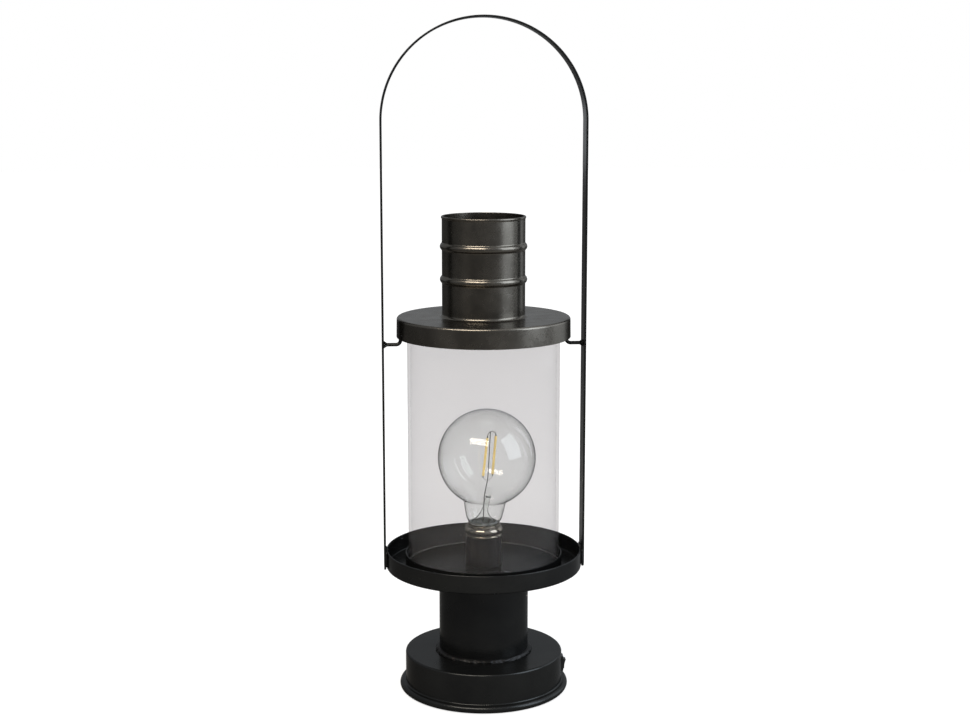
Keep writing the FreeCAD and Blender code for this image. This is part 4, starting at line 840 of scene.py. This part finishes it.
makeTube()
turnPiece("capLid", capLid["profile"], "bronzeLacquer", "cap", ["cap"], segments=180)
makeChimney()
print("glass and cap made")

# the floor's cloth is painted dark on the left and pale on the right, a painted shade and light that the
# object mirrors, and its glow runs from the foot outwards
floorCloth = {"size": 9.0, "across": (-0.6, 0.7), "paintedShadeCloth": (0.2, 0.36),
              "reach": (0.1, 0.8), "glow": (0.82, 1.0)}
# shine is what metal and glass mirror, from the dim side to the bright one, and fill is soft light on all
studio = {"brightSide": (0.65, 0.34, 0.2), "sideRange": (-0.8, 0.85), "shine": (0.28, 0.66), "fill": 0.38,
          "shineTone": (0.92, 0.96, 1, 1), "fillTone": (0.98, 0.99, 1, 1), "white": (1, 1, 1, 1)}


def plainSight(tree, path):
    # 1 where the camera looks straight at the background, or at it through glass alone
    direct = mathNode(tree, "MAXIMUM", path.outputs["Is Camera Ray"], path.outputs["Is Transmission Ray"])
    bounced = mathNode(tree, "ADD", path.outputs["Glossy Depth"], path.outputs["Diffuse Depth"])
    return mathNode(tree, "MULTIPLY", direct, mathNode(tree, "LESS_THAN", bounced, 0.5))


def makeFloor():
    mesh = bmesh.new()
    bmesh.ops.create_circle(mesh, cap_ends=True, segments=64, radius=floorCloth["size"])
    data = bpy.data.meshes.new("floor")
    mesh.to_mesh(data)
    mesh.free()
    floor = bpy.data.objects.new("floor", data)
    scene.collection.objects.link(floor)
    material, tree, add = newMaterial("paleFloor")
    spot = add("TexCoord").outputs["Object"]
    across = add("SeparateXYZ", Vector=spot).outputs["X"]
    # painted shade on the floor's left and painted light on its right, for the metal to mirror
    paintedShadeCloth = add("BsdfDiffuse", Color=rangeNode(add, across, floorCloth["across"], floorCloth["paintedShadeCloth"]))
    # a little less glow around the foot, where the shadow lies
    glow = rangeNode(add, vectorNode(tree, "LENGTH", spot), floorCloth["reach"], floorCloth["glow"])
    seen = plainSight(tree, add("LightPath"))
    light = add("Emission", Color=studio["white"], Strength=mathNode(tree, "MULTIPLY", seen, glow))
    both = tree.nodes.new("ShaderNodeAddShader")
    fillSocket(tree, both.inputs[0], paintedShadeCloth.outputs["BSDF"])
    fillSocket(tree, both.inputs[1], light.outputs["Emission"])
    add("OutputMaterial", Surface=both.outputs["Shader"])
    data.materials.append(material)


def makeWorld():
    world = bpy.data.worlds.new("studio")
    world.use_nodes = True
    scene.world = world
    tree, add = nodeTools(world)
    path = add("LightPath")
    mirrored = mathNode(tree, "MAXIMUM", path.outputs["Is Glossy Ray"], path.outputs["Is Transmission Ray"])
    # pale on the right and behind, dimmer on the left and in front
    side = vectorNode(tree, "DOT_PRODUCT", add("TexCoord").outputs["Generated"], studio["brightSide"])
    strength = rangeNode(add, side, studio["sideRange"], studio["shine"])
    fill = add("Background", Color=studio["fillTone"], Strength=studio["fill"])
    shine = add("Background", Color=studio["shineTone"], Strength=strength)
    white = add("Background", Color=studio["white"], Strength=1.0)
    onObject = shaderMix(tree, mirrored, fill.outputs[0], shine.outputs[0])
    add("OutputWorld", Surface=shaderMix(tree, plainSight(tree, path), onObject, white.outputs[0]))


lamps = (
    # name, where it stands, width, height, watts, colour
    ("softboxLeft", (-1.34, -1.04, 0.30), 0.8, 1.3, 0.3, (1.0, 0.96, 0.9)),
    ("softboxRight", (1.42, -0.62, 0.98), 1.15, 1.5, 22.0, (0.82, 0.91, 1.0)),
    ("softboxSide", (1.62, 0.7, 0.6), 1.1, 1.4, 5.0, (0.84, 0.92, 1.0)),
    ("stripAbove", (-0.55, -1.0, 1.5), 1.3, 0.42, 27.0, (1.0, 0.9, 0.76)),
    ("softboxTop", (0.7, 0.5, 1.9), 1.2, 1.2, 4.0, (0.94, 0.97, 1.0)),
)
lampAim = Vector((0, 0, 0.25))


def makeLamps():
    for name, spot, width, height, watts, colour in lamps:
        light = bpy.data.lights.new(name, "AREA")
        light.shape, light.size, light.size_y = "RECTANGLE", width, height
        light.energy, light.color = watts, colour
        lamp = bpy.data.objects.new(name, light)
        scene.collection.objects.link(lamp)
        lamp.location = spot
        lamp.rotation_euler = (lampAim - Vector(spot)).to_track_quat("-Z", "Y").to_euler()


view = {"distance": 1.579, "height": 0.5988, "turn": 4.0, "tilt": 9.93, "aside": 0.00135, "lens": 61.98,
        "sensor": 36, "farthest": 50}


def makeCamera():
    data = bpy.data.cameras.new("camera")
    data.lens, data.sensor_width, data.clip_end = view["lens"], view["sensor"], view["farthest"]
    camera = bpy.data.objects.new("camera", data)
    scene.collection.objects.link(camera)
    turn = math.radians(view["turn"])
    back = Vector((-math.sin(turn), -math.cos(turn), 0)) * view["distance"]
    side = Vector((math.cos(turn), -math.sin(turn), 0)) * view["aside"]
    camera.location = back + side + Vector((0, 0, view["height"]))
    camera.rotation_euler = Euler((math.radians(90 - view["tilt"]), 0, -turn))
    scene.camera = camera


makeFloor()
makeWorld()
makeLamps()
makeCamera()
scene.view_settings.view_transform = "Standard"
print("stage made")

# each face keeps its own straight shading, so long faces don't bend what shows in them
for piece in madePieces:
    even = piece.modifiers.new("even", "WEIGHTED_NORMAL")
    even.keep_sharp, even.weight = True, 50
